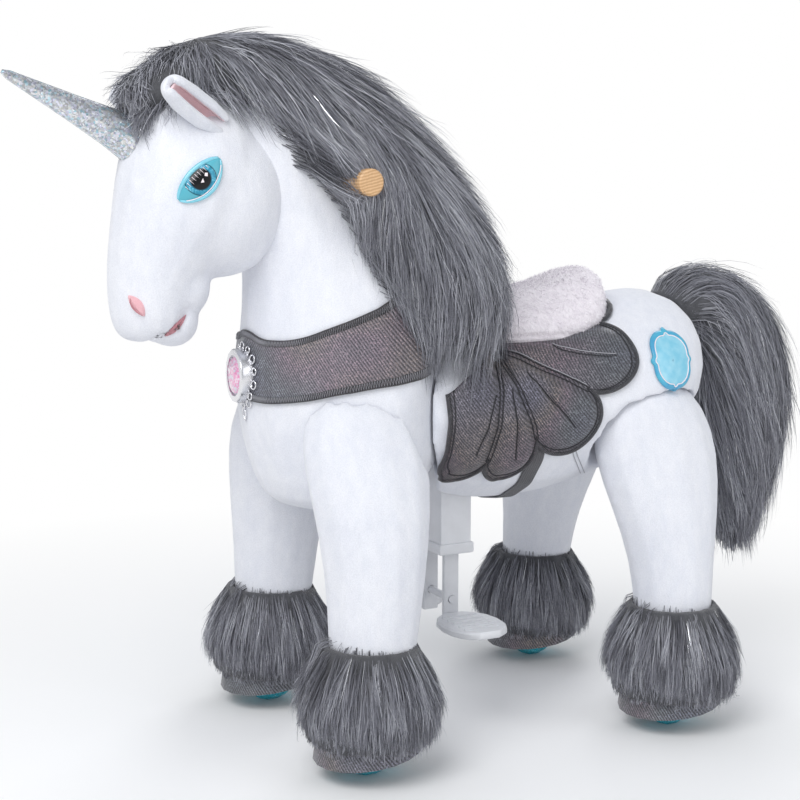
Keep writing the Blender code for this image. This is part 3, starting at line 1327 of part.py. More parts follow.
def build_eye(head, tree):
    """A domed eye patch laid on the side of the head."""
    centre_y = STEER_Y - HEAD_ADVANCE - EYE_ADVANCE
    centre_z = HEAD_TOP - EYE_DROP
    slant = math.radians(EYE_SLANT_DEG)
    rings = []
    for size in EYE_DOME_SHARES:
        ring = []
        for ahead, up in EYE_OUTLINE_SHARES:
            out = ahead * EYE_WIDTH / 2 * size
            rise = up * EYE_HEIGHT / 2 * size
            y = centre_y - out * math.cos(slant) - rise * math.sin(slant)
            z = centre_z + rise * math.cos(slant) - out * math.sin(slant)
            ring.append(reach_surface(tree, (TRUNK_HALF_WIDTH, y, z), (-UNIT, 0, 0))[0])
        rings.append(ring)
    bm = bmesh.new()
    rows = [[bm.verts.new(place) for place in ring] for ring in rings]
    count = len(EYE_OUTLINE_SHARES)
    for row, inner in zip(rows, rows[1:]):
        for index in range(count):
            after = (index + 1) % count
            bm.faces.new((row[index], row[after], inner[after], inner[index]))
    bm.faces.new(rows[-1])
    eye = mesh_object("eye_left", bm)
    wall = eye.modifiers.new("thickness", "SOLIDIFY")
    wall.thickness = EYE_THICKNESS
    wall.offset = 0
    face_out(bake(eye))
    seat(eye, head)
    mirrored(eye, "eye_right")


# Mane: share of its length from the forelock, of its height above the root, of its half width and
# depth, and of its fall to the left side
MANE_SHARES = ((0.0, 0.80, 0.30, 0.25, 0.0), (0.12, 0.92, 0.52, 0.43, 0.0),
               (0.27, 0.965, 0.66, 0.53, 0.1), (0.43, 0.87, 0.80, 0.68, 0.25),
               (0.56, 0.68, 0.94, 0.84, 0.5), (0.66, 0.455, 1.06, 0.95, 0.8),
               (0.745, 0.23, 1.16, 1.0, 1.0), (0.78, 0.03, 1.20, 0.92, 1.0),
               (0.80, -0.12, 0.90, 0.55, 1.0))


def build_mane_form():
    points = [(MANE_SIDE_FALL * fall, MANE_FRONT_Y + MANE_LENGTH * along,
               MANE_ROOT_HEIGHT + MANE_HEIGHT * up, MANE_HALF_WIDTH * width, MANE_HALF_DEPTH * depth)
              for along, up, width, depth, fall in MANE_SHARES]
    return stuffed("mane", path_rings(points))


# Tail: share of its length behind the root, of its height above the tip, of half width and depth
TAIL_SHARES = ((0.0, 0.84, 0.46, 0.36), (0.16, 0.92, 0.70, 0.50), (0.42, 0.92, 0.92, 0.70),
               (0.64, 0.81, 1.0, 0.94), (0.755, 0.64, 1.0, 1.0), (0.785, 0.45, 0.94, 0.84),
               (0.765, 0.24, 0.72, 0.50), (0.75, 0.08, 0.42, 0.32), (0.745, 0.02, 0.18, 0.14))


def build_tail(trunk):
    start = REAR_AXLE_Y + TAIL_ROOT_SETBACK
    points = [(0, start + TAIL_LENGTH * along, TAIL_TIP_HEIGHT + TAIL_HEIGHT * up,
               TAIL_HALF_WIDTH * width, TAIL_HALF_DEPTH * depth) for along, up, width, depth in TAIL_SHARES]
    tail = stuffed("tail", path_rings(points), LIMB_SIDES)
    return seat(tail, trunk)


# Saddle: share of its length, of its half width, and of its rise at that point
SADDLE_SHARES = ((0.0, 0.50, 0.62), (0.07, 0.82, 0.76), (0.22, 0.96, 0.76), (0.45, 1.0, 0.68),
                 (0.66, 1.0, 0.76), (0.84, 0.98, 0.92), (0.95, 0.84, 1.0), (1.0, 0.56, 0.90))


def build_saddle(trunk, board):
    """A cushion with a dished seat, a low pommel and a higher cantle."""
    start = STEER_Y + SADDLE_SETBACK
    rings = []
    for along, width, rise in SADDLE_SHARES:
        top = SADDLE_BASE + SADDLE_RISE * rise
        bottom = SADDLE_BASE - SADDLE_RISE / 10
        rings.append((0, start + SADDLE_LENGTH * along, (top + bottom) / 2, SADDLE_HALF_WIDTH * width,
                      (top - bottom) / 2, math.pi / 2))
    saddle = stuffed("saddle_cushion", rings, SOFT_SIDES, SOFT_LEVELS, SADDLE_SQUARE_SHARE)
    return seat(saddle, trunk, board)


def build_saddle_board():
    """A board under the cushion on two posts that stand on the chassis."""
    middle = STEER_Y + SADDLE_SETBACK + SADDLE_LENGTH / 2
    low = BOARD_HEIGHT - BOARD_THICKNESS
    board = box("saddle_board", (-BOARD_HALF_WIDTH, middle - BOARD_LENGTH / 2, low),
                (BOARD_HALF_WIDTH, middle + BOARD_LENGTH / 2, BOARD_HEIGHT))
    corners = board.modifiers.new("round_corners", "BEVEL")
    corners.width = BOARD_THICKNESS / 4
    bake(board)
    foot = BACKBONE_Z + PLATE_HALF_HEIGHT + CLEARANCE
    base_x = plate_inside() + PLATE_THICKNESS
    posts = []
    for index, offset in enumerate((-POST_SPACING / 2, POST_SPACING / 2)):
        y = middle + offset
        posts.append(rod(f"post_{index}", (0, y, foot + WELD_LAP), (0, y, BOARD_HEIGHT - WELD_LAP),
                         POST_RADIUS))
        posts.append(box(f"foot_{index}", (-base_x, y - POST_RADIUS, foot),
                         (base_x, y + POST_RADIUS, foot + PLATE_THICKNESS)))
    return fuse("saddle_board", board, *posts)


# Fan of the saddle cloth: the angle below straight back where each lobe starts, in degrees, and the
# share of the reach at its start and at its tip
WING_LOBES = ((-9.0, 0.98, 1.12), (0.0, 0.90, 1.02), (24.0, 0.70, 0.83), (71.0, 0.63, 0.82),
              (102.0, 0.75, 0.86), (126.0, 0.73, 0.80))
WING_END_SHARE = 0.50
WING_ROOT_SHARE = 0.12
WING_END_DEG = 147.0


def wing_outline():
    """Points of the scalloped edge about the wing's root, as (angle, reach)."""
    edge = []
    for index, (start, reach, tip) in enumerate(WING_LOBES[:-1]):
        end, end_reach, _ = WING_LOBES[index + 1]
        for step in range(WING_LOBE_POINTS):
            share = step / WING_LOBE_POINTS
            level = reach + (end_reach - reach) * share
            bulge = (tip - (reach + end_reach) / 2) * math.sin(math.pi * share) ** WING_SCALLOP_POWER
            edge.append((start + (end - start) * share, (level + bulge) * WING_REACH))
    last = WING_LOBES[-1]
    edge.append((last[0], last[1] * WING_REACH))
    edge.append((WING_END_DEG, WING_END_SHARE * WING_REACH))
    return edge


def build_wing(trunk, tree, saddle, board):
    """The left half of the saddle cloth, draped on the trunk."""
    grid = []
    for angle, reach in wing_outline():
        turn = math.radians(angle)
        row = []
        for step in range(WING_RINGS + 1):
            out = reach * (WING_ROOT_SHARE + (1 - WING_ROOT_SHARE) * step / WING_RINGS)
            y = WING_ROOT_Y + out * math.cos(turn)
            z = WING_ROOT_HEIGHT - out * math.sin(turn)
            row.append(drape_on_trunk(tree, y, z))
        grid.append(row)
    wing = cloth_sheet("wing_left", grid, WING_THICKNESS)
    seat(wing, trunk, saddle, board)
    return cut(wing, steering_drum(SOCKET_RADIUS + STEER_GAP, "wing_trim"))


def build_girth_strap(trunk, tree, wings):
    """An elastic band from wing to wing under the belly."""
    limit = math.acos((HIP_HEIGHT - STRAP_TOP_HEIGHT) / TRUNK_HALF_WIDTH)
    grid = []
    for angle in spread(-limit, limit, STRAP_COLUMNS):
        row = []
        for offset in (-STRAP_WIDTH / 2, STRAP_WIDTH / 2):
            direction = Vector((math.sin(angle), 0, -math.cos(angle)))
            middle = Vector((0, STRAP_Y + offset, HIP_HEIGHT))
            start = middle + direction * TRUNK_HALF_WIDTH * OUTSIDE_SHARE
            row.append(reach_surface(tree, start, -direction)[0])
        grid.append(row)
    strap = cloth_sheet("girth_strap", grid, STRAP_THICKNESS)
    return seat(strap, trunk, *wings)


PLAQUE_RING_SHARES = (1.0, 0.5)


def build_plaque(trunk, tree):
    """A quatrefoil patch on the left of the rump."""
    rows = []
    for size in PLAQUE_RING_SHARES:
        row = []
        for index in range(PLAQUE_POINTS):
            turn = math.tau * index / PLAQUE_POINTS
            lobes = 1 - PLAQUE_NOTCH_SHARE * (1 - abs(math.sin(turn * 2)))
            point = abs(math.cos(turn * 2)) ** PLAQUE_POINT_POWER * PLAQUE_NOTCH_SHARE
            reach = (lobes + point) * size
            y = PLAQUE_Y + PLAQUE_HALF_WIDTH * reach * math.cos(turn)
            z = PLAQUE_HEIGHT + PLAQUE_HALF_HEIGHT * reach * math.sin(turn)
            row.append(drape_on_trunk(tree, y, z))
        rows.append(row)
    bm = bmesh.new()
    loops = [[bm.verts.new(place) for place in row] for row in rows]
    for index in range(PLAQUE_POINTS):
        after = (index + 1) % PLAQUE_POINTS
        bm.faces.new((loops[0][index], loops[0][after], loops[1][after], loops[1][index]))
    bm.faces.new(loops[1])
    plaque = mesh_object("rump_plaque", bm)
    wall = plaque.modifiers.new("thickness", "SOLIDIFY")
    wall.thickness = PLAQUE_THICKNESS
    wall.offset = 0
    face_out(bake(plaque))
    return seat(plaque, trunk)


def build_collar(neck, tree):
    """A band of cloth round the root of the neck, deep in front and rising to the back."""
    grid = []
    for index in range(COLLAR_COLUMNS):
        turn = math.tau * index / COLLAR_COLUMNS
        front = (1 + math.cos(turn)) / 2
        side = abs(math.sin(turn))
        low = COLLAR_BACK_BOTTOM + (COLLAR_FRONT_BOTTOM - COLLAR_BACK_BOTTOM) * front
        high = COLLAR_BACK_TOP + (COLLAR_FRONT_TOP - COLLAR_BACK_TOP) * front
        low -= COLLAR_SIDE_RISE * side
        high -= COLLAR_SIDE_RISE * side
        row = []
        for z in (low, (low + high) / 2, high):
            direction = Vector((math.sin(turn), -math.cos(turn), 0))
            start = Vector((0, STEER_Y, z)) + direction * CHEST_HALF_WIDTH * OUTSIDE_SHARE
            row.append(reach_surface(tree, start, -direction)[0])
        grid.append(row)
    rows = [list(column) for column in zip(*grid)]
    collar = cloth_sheet("collar", rows, COLLAR_THICKNESS, True)
    return seat(collar, neck)


# Brooch: share of the stone's radius and of half the thickness, then of the whole radius for the rim
STONE_SHARES = ((0.0, 0.9), (0.6, 0.8), (1.0, 0.5), (1.0, 1.0))
RIM_SHARES = ((0.97, 0.9), (1.0, 0.5), (1.0, -2.0), (0.0, -2.0))


def build_brooch(collar, neck):
    """An oval setting with a raised rim, pinned to the front of the collar."""
    stone = 1 - BROOCH_RIM / BROOCH_HALF_WIDTH
    half = BROOCH_THICKNESS / 2
    profile = [(stone * out, half * up) for out, up in STONE_SHARES]
    profile += [(out, half * up) for out, up in RIM_SHARES]
    front = STEER_Y - BROOCH_ADVANCE
    place = Matrix.Translation((0, front, BROOCH_HEIGHT)) @ Matrix.Rotation(math.pi / 2, 4, "X")
    shape = Matrix.Diagonal((BROOCH_HALF_WIDTH, BROOCH_HALF_HEIGHT, UNIT, UNIT))
    brooch = turned("brooch", profile, FURRED_STEPS, place @ shape)
    return seat(brooch, collar, neck)


# Joint axes

def joint_empty(name, place):
    empty = bpy.data.objects.new(name, None)
    PARTS.objects.link(empty)
    empty.location = place
    empty.empty_display_size = HUB_RADIUS
    return empty


def hang(names, empty):
    """Parent pieces to the empty on their joint's axis and keep them where they are."""
    bpy.context.view_layer.update()
    for name in names:
        piece = bpy.data.objects[name]
        piece.parent = empty
        piece.matrix_parent_inverse = empty.matrix_world.inverted()


TRUNK_NODES = ["trunk_shell", "chassis_frame", "saddle_board", "saddle_cushion", "wing_left", "wing_right",
               "girth_strap", "pedal_housing", "hip_bush_left", "hip_bush_right", "head_tube_bush", "tail",
               "rump_plaque"]
FRONT_NODES = ["front_fork", "neck_and_chest", "head", "horn", "eye_left", "eye_right", "ear_left",
               "ear_right", "mane", "collar", "brooch", "handle_bar", "front_leg_left", "front_leg_right",
               "hoof_front_left", "hoof_front_right", "cuff_front_left", "cuff_front_right",
               "axle_front_left", "axle_front_right"]
HIND_NODES = ["hip_crankshaft", "hind_tube_left", "hind_tube_right", "hind_leg_left", "hind_leg_right",
              "hoof_hind_left", "hoof_hind_right", "cuff_hind_left", "cuff_hind_right", "axle_hind_left",
              "axle_hind_right"]
PEDAL_NODES = ["pedal_bar_left", "pedal_bar_right", "carriage_pin", "pedal_cross_rod", "pedal_left",
               "pedal_right"]
WHEELS = {"front_left": (FRONT_TRACK / 2, STEER_Y), "front_right": (-FRONT_TRACK / 2, STEER_Y),
          "hind_left": (REAR_TRACK / 2, REAR_AXLE_Y), "hind_right": (-REAR_TRACK / 2, REAR_AXLE_Y)}

NODE_FINISHES = {
    "trunk_shell": "plush", "chassis_frame": "painted", "saddle_board": "dark_plastic",
    "saddle_cushion": "saddle", "wing": "cloth", "girth_strap": "cloth", "pedal_housing": "plastic",
    "hip_bush": "dark_plastic", "head_tube_bush": "dark_plastic", "tail": "fur", "rump_plaque": "plaque",
    "front_fork": "painted", "neck_and_chest": "plush", "head": "plush", "horn": "horn", "eye": "eye",
    "ear": "ear", "mane": "fur", "collar": "cloth", "brooch": "silver", "handle_bar": "wood",
    "front_leg": "plush", "hind_leg": "plush", "hoof": "cloth", "cuff": "fur", "axle": "steel",
    "hip_crankshaft": "steel", "hind_tube": "painted", "pedal_bar": "plastic", "carriage_pin": "steel",
    "pedal_cross_rod": "plastic", "pedal": "plastic", "rocker": "steel", "tyre": "tyre", "hub": "hub",
}


def finish_of(name):
    """The finish named for the longest part of the node's name."""
    fits = [key for key in NODE_FINISHES if name.startswith(key)]
    return FINISHES[NODE_FINISHES[max(fits, key=len)]]


def give_material(piece):
    colour, roughness, metallic = finish_of(piece.name)
    material = bpy.data.materials.new(f"{piece.name}_finish")
    material.use_nodes = True
    shader = material.node_tree.nodes["Principled BSDF"]
    shader.inputs["Base Color"].default_value = (*colour, UNIT)
    shader.inputs["Roughness"].default_value = roughness
    shader.inputs["Metallic"].default_value = metallic
    piece.data.materials.clear()
    piece.data.materials.append(material)


def publish(names):
    """Move finished pieces from the cutters to the parts, with their shading and material."""
    for name in names:
        piece = bpy.data.objects[name]
        CUTTERS.objects.unlink(piece)
        PARTS.objects.link(piece)
        piece.hide_render = False
        piece.display_type = "TEXTURED"
        piece.data.shade_smooth()
        piece.data.set_sharp_from_angle(angle=math.radians(SHARP_ANGLE_DEG))
        give_material(piece)


def centre_toy(toy, names):
    """Move the toy so that the origin lies under the middle of its box."""
    places = [vert.co for name in names for vert in bpy.data.objects[name].data.vertices]
    ys = [place.y for place in places]
    xs = [place.x for place in places]
    toy.location = (-(min(xs) + max(xs)) / 2, -(min(ys) + max(ys)) / 2, 0)


def build():
    fork = build_front_fork()
    build_head_tube_bush()
    build_chassis()
    build_hip_crankshaft()
    build_rocker()
    build_pedal_carriage()
    build_housing()
    board = build_saddle_board()
    handle = build_handle()
    for tag, (x, y) in WHEELS.items():
        build_wheel(tag, x, y)
    for side, sign in (("left", 1), ("right", -1)):
        build_hip_bush(side, sign)
        build_hind_tube(side, sign)

    trunk_form = build_trunk_form()
    neck_form = build_neck_form()
    head_form = build_head_form()
    front_form = build_front_leg_form()
    hind_form = build_hind_leg_form()
    trunk_tree = surface_of(trunk_form)

    build_trunk_shell(trunk_form, hind_form)
    build_neck(neck_form, fork, handle)
    head = seat(copy_of(head_form, "head"), neck_form)

    saddle = build_saddle(trunk_form, board)
    wing = build_wing(trunk_form, trunk_tree, saddle, board)
    wing_right = mirrored(wing, "wing_right")
    angles = spread(-STEER_RANGE, STEER_RANGE, SWEEP_STEPS)
    steer = (Vector((0, STEER_Y, 0)), (0, 0, UNIT), angles, STEER_GAP)
    trunk_sweep = swept("trunk_sweep", [trunk_form, wing, wing_right], *steer)
    saddle_sweep = swept("saddle_sweep", [saddle], *steer)

    front_block = hoof_block("front_cutter", FRONT_TRACK / 2, STEER_Y)
    front_leg = copy_of(front_form, "front_leg_left")
    cut(front_leg, trunk_sweep)
    seat(front_leg, neck_form, front_block)
    front_leg_outer = copy_of(front_leg, "front_leg_outer")
    seat(front_leg, fork, gap=FOAM_GAP)
    mirrored(front_leg, "front_leg_right")

    hind_block = hoof_block("hind_cutter", REAR_TRACK / 2, REAR_AXLE_Y)
    hind_leg = copy_of(hind_form, "hind_leg_left")
    seat(hind_leg, hind_block)
    hind_leg_outer = copy_of(hind_leg, "hind_leg_outer")
    hub_core = rod("hub_core", (0, HIP_Y, HIP_HEIGHT), (HIP_SHAFT_REACH + FOAM_GAP * 2, HIP_Y, HIP_HEIGHT),
                   HIP_HUB_RADIUS + FOAM_GAP * 2)
    cut(hind_leg, hub_core)
    seat(hind_leg, bpy.data.objects["hind_tube_left"], gap=FOAM_GAP)
    mirrored(hind_leg, "hind_leg_right")

    feet = (("front_left", FRONT_TRACK / 2, STEER_Y, front_leg_outer, FORK_TUBE_RADIUS),
            ("hind_left", REAR_TRACK / 2, REAR_AXLE_Y, hind_leg_outer, HIND_TUBE_RADIUS))
    for tag, x, y, leg, radius in feet:
        hole = rod(f"{tag}_tube_hole", (x, y, BRACKET_TOP - OVERRUN), (x, y, HOOF_TOP + OVERRUN),
                   clear_hole(radius))
        block = build_hoof(tag, x, y, hole)
        build_cuff(tag, x, y, leg, block)
        for piece in ("hoof", "cuff"):
            mirrored(bpy.data.objects[f"{piece}_{tag}"], f"{piece}_{tag.replace('left', 'right')}")

    head_tree = surface_of(head)
    horn = build_horn(head)
    ear = build_ear(head)
    build_eye(head, head_tree)
    neck_tree = surface_of(neck_form)
    collar = build_collar(neck_form, neck_tree)
    build_brooch(collar, neck_form)

    build_tail(trunk_form)
    build_girth_strap(trunk_form, trunk_tree, (wing, wing_right))
    build_plaque(trunk_form, trunk_tree)

    mane = build_mane_form()
    shoulder_room = cut(copy_of(trunk_sweep, "shoulder_room"), steering_drum(SOCKET_RADIUS, "mane_drum"))
    cut(mane, shoulder_room, saddle_sweep)
    seat(mane, neck_form, head, horn, ear, bpy.data.objects["ear_right"], collar, handle, fork)

    everything = TRUNK_NODES + FRONT_NODES + HIND_NODES + PEDAL_NODES + ["rocker"]
    wheel_nodes = [f"{kind}_{tag}" for tag in WHEELS for kind in ("tyre", "hub")]
    everything += wheel_nodes
    publish(everything)

    toy = joint_empty("toy", (0, 0, 0))
    steering = joint_empty("steering_axis", (0, STEER_Y, BACKBONE_Z))
    hip = joint_empty("hip_axis", (0, HIP_Y, HIP_HEIGHT))
    carriage = joint_empty("pedal_carriage_axis", (0, BAR_Y, HIP_HEIGHT))
    rocker = joint_empty("rocker_axis", (0, ROCKER_Y, HIP_HEIGHT))
    hang(TRUNK_NODES, toy)
    hang(FRONT_NODES, steering)
    hang(HIND_NODES, hip)
    hang(PEDAL_NODES, carriage)
    hang(["rocker"], rocker)
    for tag, (x, y) in WHEELS.items():
        axle = joint_empty(f"axle_axis_{tag}", (x, y, WHEEL_RADIUS))
        hang([f"tyre_{tag}", f"hub_{tag}"], axle)
        hang([axle.name], steering if tag.startswith("front") else hip)
    hang([steering.name, hip.name, carriage.name, rocker.name], toy)
    centre_toy(toy, everything)
    return toy


build()
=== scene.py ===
import math

import bmesh
import bpy
import numpy as np
from mathutils import Matrix, Vector, kdtree
from mathutils.bvhtree import BVHTree


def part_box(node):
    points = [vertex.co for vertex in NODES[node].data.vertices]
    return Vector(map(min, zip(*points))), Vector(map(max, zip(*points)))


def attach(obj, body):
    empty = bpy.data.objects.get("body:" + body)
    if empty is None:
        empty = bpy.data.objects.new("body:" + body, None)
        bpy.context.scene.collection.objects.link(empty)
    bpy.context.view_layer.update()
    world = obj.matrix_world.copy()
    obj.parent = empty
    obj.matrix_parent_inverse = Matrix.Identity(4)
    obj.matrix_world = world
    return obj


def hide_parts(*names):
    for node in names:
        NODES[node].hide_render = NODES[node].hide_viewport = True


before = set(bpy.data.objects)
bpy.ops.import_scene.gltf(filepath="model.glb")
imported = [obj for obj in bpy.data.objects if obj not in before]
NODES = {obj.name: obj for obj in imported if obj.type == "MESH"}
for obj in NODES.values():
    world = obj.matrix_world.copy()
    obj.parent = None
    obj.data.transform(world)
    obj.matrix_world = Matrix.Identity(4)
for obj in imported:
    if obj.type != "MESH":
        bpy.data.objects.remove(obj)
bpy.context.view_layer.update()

RNG = np.random.default_rng(11)

# Places in the frame, in metres
STEER_Y = sum(corner.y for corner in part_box("axle_front_left")) / 2
REAR_Y = sum(corner.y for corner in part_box("axle_hind_left")) / 2
MIDDLE_Y = (STEER_Y + REAR_Y) / 2
LEFT, RIGHT = 1, -1
SIDES = (("left", LEFT), ("right", RIGHT))

# Bodies and material slots of the pieces that the scene adds
EYE = ("front_end", "eye_gloss")
PINK = ("front_end", "ear_plush")
FRONT_PLUSH, TRUNK_PLUSH = ("front_end", "white_plush"), ("trunk", "white_plush")
FRONT_MESH, TRUNK_MESH = ("front_end", "glitter_mesh"), ("trunk", "glitter_mesh")
FRONT_FUR, TRUNK_FUR = ("front_end", "grey_fur"), ("trunk", "grey_fur")
SADDLE_SLOT = ("trunk", "saddle_plush")
PLAQUE_SLOT = ("trunk", "plaque_cloth")
TRIM = ("front_end", "silver_trim")

# Node graphs


class Graph:
    """A material being made: its tree, its shader, and short ways to add nodes."""

    def __init__(self, name, **constants):
        self.material = bpy.data.materials.new(name)
        self.material.use_nodes = True
        self.tree = self.material.node_tree
        self.shader = self.tree.nodes["Principled BSDF"]
        for key, value in constants.items():
            self.shader.inputs[key.replace("_", " ")].default_value = value
        self.place = self.add("TexCoord").outputs["Object"]
        self.normal = None

    def add(self, kind, links=None, values=None, **settings):
        node = self.tree.nodes.new("ShaderNode" + kind)
        for key, value in settings.items():
            setattr(node, key, value)
        for key, value in (values or {}).items():
            node.inputs[key].default_value = value
        for key, socket in (links or {}).items():
            self.tree.links.new(socket, node.inputs[key])
        return node

    def stretched(self, scale):
        return self.add("Mapping", {"Vector": self.place}, {"Scale": scale}).outputs["Vector"]

    def noise(self, scale, detail=2.0, rough=0.5, place=None):
        node = self.add("TexNoise", {"Vector": place or self.place},
                        {"Scale": scale, "Detail": detail, "Roughness": rough})
        return node.outputs["Fac"]

    def cells(self, scale, out="Distance"):
        return self.add("TexVoronoi", {"Vector": self.place}, {"Scale": scale}).outputs[out]

    def channels(self, socket):
        return self.add("SeparateColor", {"Color": socket}).outputs

    def waves(self, scale, direction, distortion, place=None, kind="BANDS"):
        settings = {"wave_type": kind}
        settings["bands_direction" if kind == "BANDS" else "rings_direction"] = direction
        node = self.add("TexWave", {"Vector": place or self.place},
                        {"Scale": scale, "Distortion": distortion}, **settings)
        return node.outputs["Fac"]

    def attribute(self, name):
        return self.add("Attribute", attribute_name=name).outputs["Fac"]

    def maths(self, how, a, b):
        node = self.add("Math", operation=how)
        for index, value in enumerate((a, b)):
            if isinstance(value, (int, float)):
                node.inputs[index].default_value = value
            else:
                self.tree.links.new(value, node.inputs[index])
        return node.outputs[0]

    def ramp(self, value, *stops):
        node = self.add("ValToRGB", {"Fac": value})
        points = node.color_ramp.elements
        while len(points) < len(stops):
            points.new(0.5)
        for point, (where, colour) in zip(points, stops):
            point.position = where
            point.color = (*colour, 1) if hasattr(colour, "__len__") else (colour, colour, colour, 1)
        return node.outputs["Color"]

    def mix(self, how, fac, a, b):
        node = self.add("Mix", data_type="RGBA", blend_type=how)
        for socket, value in ((node.inputs[0], fac), (node.inputs[6], a), (node.inputs[7], b)):
            if isinstance(value, (int, float)):
                socket.default_value = value
            elif isinstance(value, tuple):
                socket.default_value = (*value, 1)
            else:
                self.tree.links.new(value, socket)
        return node.outputs[2]

    def link(self, name, socket):
        self.tree.links.new(socket, self.shader.inputs[name])
        return self

    def bump(self, height, distance, strength):
        links = {"Height": height}
        if self.normal:
            links["Normal"] = self.normal
        node = self.add("Bump", links, {"Distance": distance, "Strength": strength})
        self.normal = node.outputs["Normal"]
        return self.link("Normal", self.normal)


def plush(name, low, high, pile=0.0011, sheen=0.35):
    """Short pile: a fine grain, patches where the pile lies the other way, and a soft rim."""
    g = Graph(name, Roughness=0.95, Sheen_Weight=sheen, Sheen_Roughness=0.4, Specular_IOR_Level=0.15)
    patches = g.noise(9.0, 3.0, 0.6)
    brushed = g.noise(60.0, 3.0, 0.65, g.stretched((1.0, 1.6, 0.6)))
    grain = g.noise(700.0, 2.0, 0.7)
    tone = g.mix("MIX", 0.5, *(g.ramp(value, (0.3, low), (0.7, high)) for value in (patches, brushed)))
    g.link("Base Color", g.mix("MULTIPLY", 0.35, tone, g.ramp(grain, (0.3, 0.72), (0.62, 1.0))))
    return g.bump(brushed, pile, 0.35).bump(grain, pile, 0.55).material


def strands(name, dark, middle, light, root=0.62):
    """Long pile: the shade of each lock and strand comes with the mesh, and tips are lighter, the darker
    roots being painted shade deep in the pile.
    """
    g = Graph(name, Roughness=0.42, Specular_IOR_Level=0.45, Sheen_Weight=0.15, Anisotropic=0.4)
    shade = g.ramp(g.attribute("shade"), (0.0, dark), (0.5, middle), (1.0, light))
    # The root factor darkens each strand near its root: painted shade deep in the pile.
    rise = g.ramp(g.attribute("along"), (0.0, root), (0.55, 1.0))
    return g.link("Base Color", g.mix("MULTIPLY", 1.0, shade, rise)).material


CLOTH_HUES = ((0.36, (0.30, 0.33, 0.46)), (0.45, (0.30, 0.34, 0.36)), (0.52, (0.47, 0.32, 0.38)),
              (0.58, (0.46, 0.36, 0.30)), (0.66, (0.32, 0.31, 0.42)))


def mesh_cloth(name, base, twill=125.0, tint=0.5, glint=1.0):
    """Dark metallic cloth: a raised diagonal twill, points of light, and a hue that drifts slowly."""
    g = Graph(name, Roughness=0.40, Metallic=0.30, Sheen_Weight=0.2, Specular_IOR_Level=0.6)
    weft = g.waves(twill, "DIAGONAL", 0.6)
    warp = g.waves(twill * 1.7, "Z", 0.5)
    weave = g.maths("ADD", g.maths("MULTIPLY", weft, 0.7), g.maths("MULTIPLY", warp, 0.3))
    bright = g.ramp(g.channels(g.cells(820.0, "Color"))[0], (0.72, 0.0), (1.0, 1.0))
    drift = g.ramp(g.noise(5.5, 1.0), *CLOTH_HUES)
    yarn = g.ramp(weave, (0.15, tuple(c * 0.35 for c in base)), (0.85, tuple(c * 1.9 for c in base)))
    twice = g.mix("ADD", 1.0, drift, drift)
    tinted = g.mix("MULTIPLY", tint, yarn, g.mix("ADD", 1.0, twice, (0.34, 0.34, 0.34)))
    g.link("Base Color", g.mix("ADD", g.maths("MULTIPLY", bright, 0.5 * glint), tinted, drift))
    return g.bump(weave, 0.0007, 0.7).material


def moulded(name, colour, rough, grain=0.00012, wear=0.06, metallic=0.0, **more):
    """Moulded plastic or painted steel: a fine skin, faint cloudiness and duller patches."""
    g = Graph(name, Metallic=metallic, **more)
    low = tuple(c * (1 - wear) for c in colour)
    g.link("Base Color", g.ramp(g.noise(40.0, 4.0, 0.6), (0.35, low), (0.65, colour)))
    g.link("Roughness", g.ramp(g.noise(160.0, 3.0), (0.3, rough * 0.8), (0.7, min(1.0, rough * 1.25))))
    return g.bump(g.noise(1500.0, 1.0), grain, 0.5).material


def glitter(name, base, spread, scale, rough=0.25, metallic=0.9, tilt=0.0012):
    """Packed flakes, each with its own hue and its own tilt."""
    g = Graph(name, Roughness=rough, Metallic=metallic, Specular_IOR_Level=0.7)
    hue, shade, slope = list(g.channels(g.cells(scale, "Color")))[:3]
    tinted = g.mix("MIX", 0.4, g.ramp(hue, *spread), base)
    g.link("Base Color", g.mix("MULTIPLY", 1.0, tinted, g.ramp(shade, (0.0, 0.5), (1.0, 1.0))))
    return g.bump(slope, tilt, 0.9).material


WHITE_PLUSH = plush("white_plush", (0.73, 0.75, 0.82), (0.85, 0.86, 0.905))
PINK_PLUSH = plush("pink_plush", (0.72, 0.38, 0.42), (0.84, 0.52, 0.56), pile=0.0008)
EAR_PINK = plush("ear_pink", (0.86, 0.60, 0.64), (0.94, 0.74, 0.77), pile=0.0008)
# A darker copy of the pink plush: the mouth's own pink with painted shade of its open slit, and painted
# shade in the nostril's crease.
SHADED_PINK = plush("shaded_pink", (0.48, 0.20, 0.24), (0.60, 0.30, 0.33), pile=0.0006)
SEAT_PLUSH = plush("seat_plush", (0.80, 0.75, 0.81), (0.89, 0.85, 0.89), pile=0.0022, sheen=0.5)
SEAT_FUZZ = strands("seat_fuzz", (0.86, 0.82, 0.87), (0.91, 0.88, 0.92), (0.95, 0.93, 0.96), root=0.94)
# Grey fur: its dark and light ends hold painted shade in the gaps between locks and painted highlight on
# them, as well as the fur's own greys.
FUR = strands("grey_fur", (0.060, 0.061, 0.076), (0.220, 0.223, 0.262), (0.54, 0.55, 0.60))
UNDER_FUR = plush("under_fur", (0.06, 0.061, 0.068), (0.12, 0.122, 0.132), pile=0.003)
CLOTH = mesh_cloth("glitter_mesh", (0.105, 0.103, 0.118))
WING_CLOTH = mesh_cloth("wing_mesh", (0.066, 0.065, 0.076))
HOOF_CLOTH = mesh_cloth("hoof_mesh", (0.105, 0.105, 0.115), twill=115.0, tint=0.3)
BINDING = mesh_cloth("binding", (0.034, 0.034, 0.040), twill=230.0, tint=0.2, glint=0.3)
STRAP = mesh_cloth("girth_web", (0.085, 0.085, 0.092), twill=300.0, tint=0.1, glint=0.2)
THREAD = moulded("sewing_thread", (0.022, 0.022, 0.027), rough=0.6)
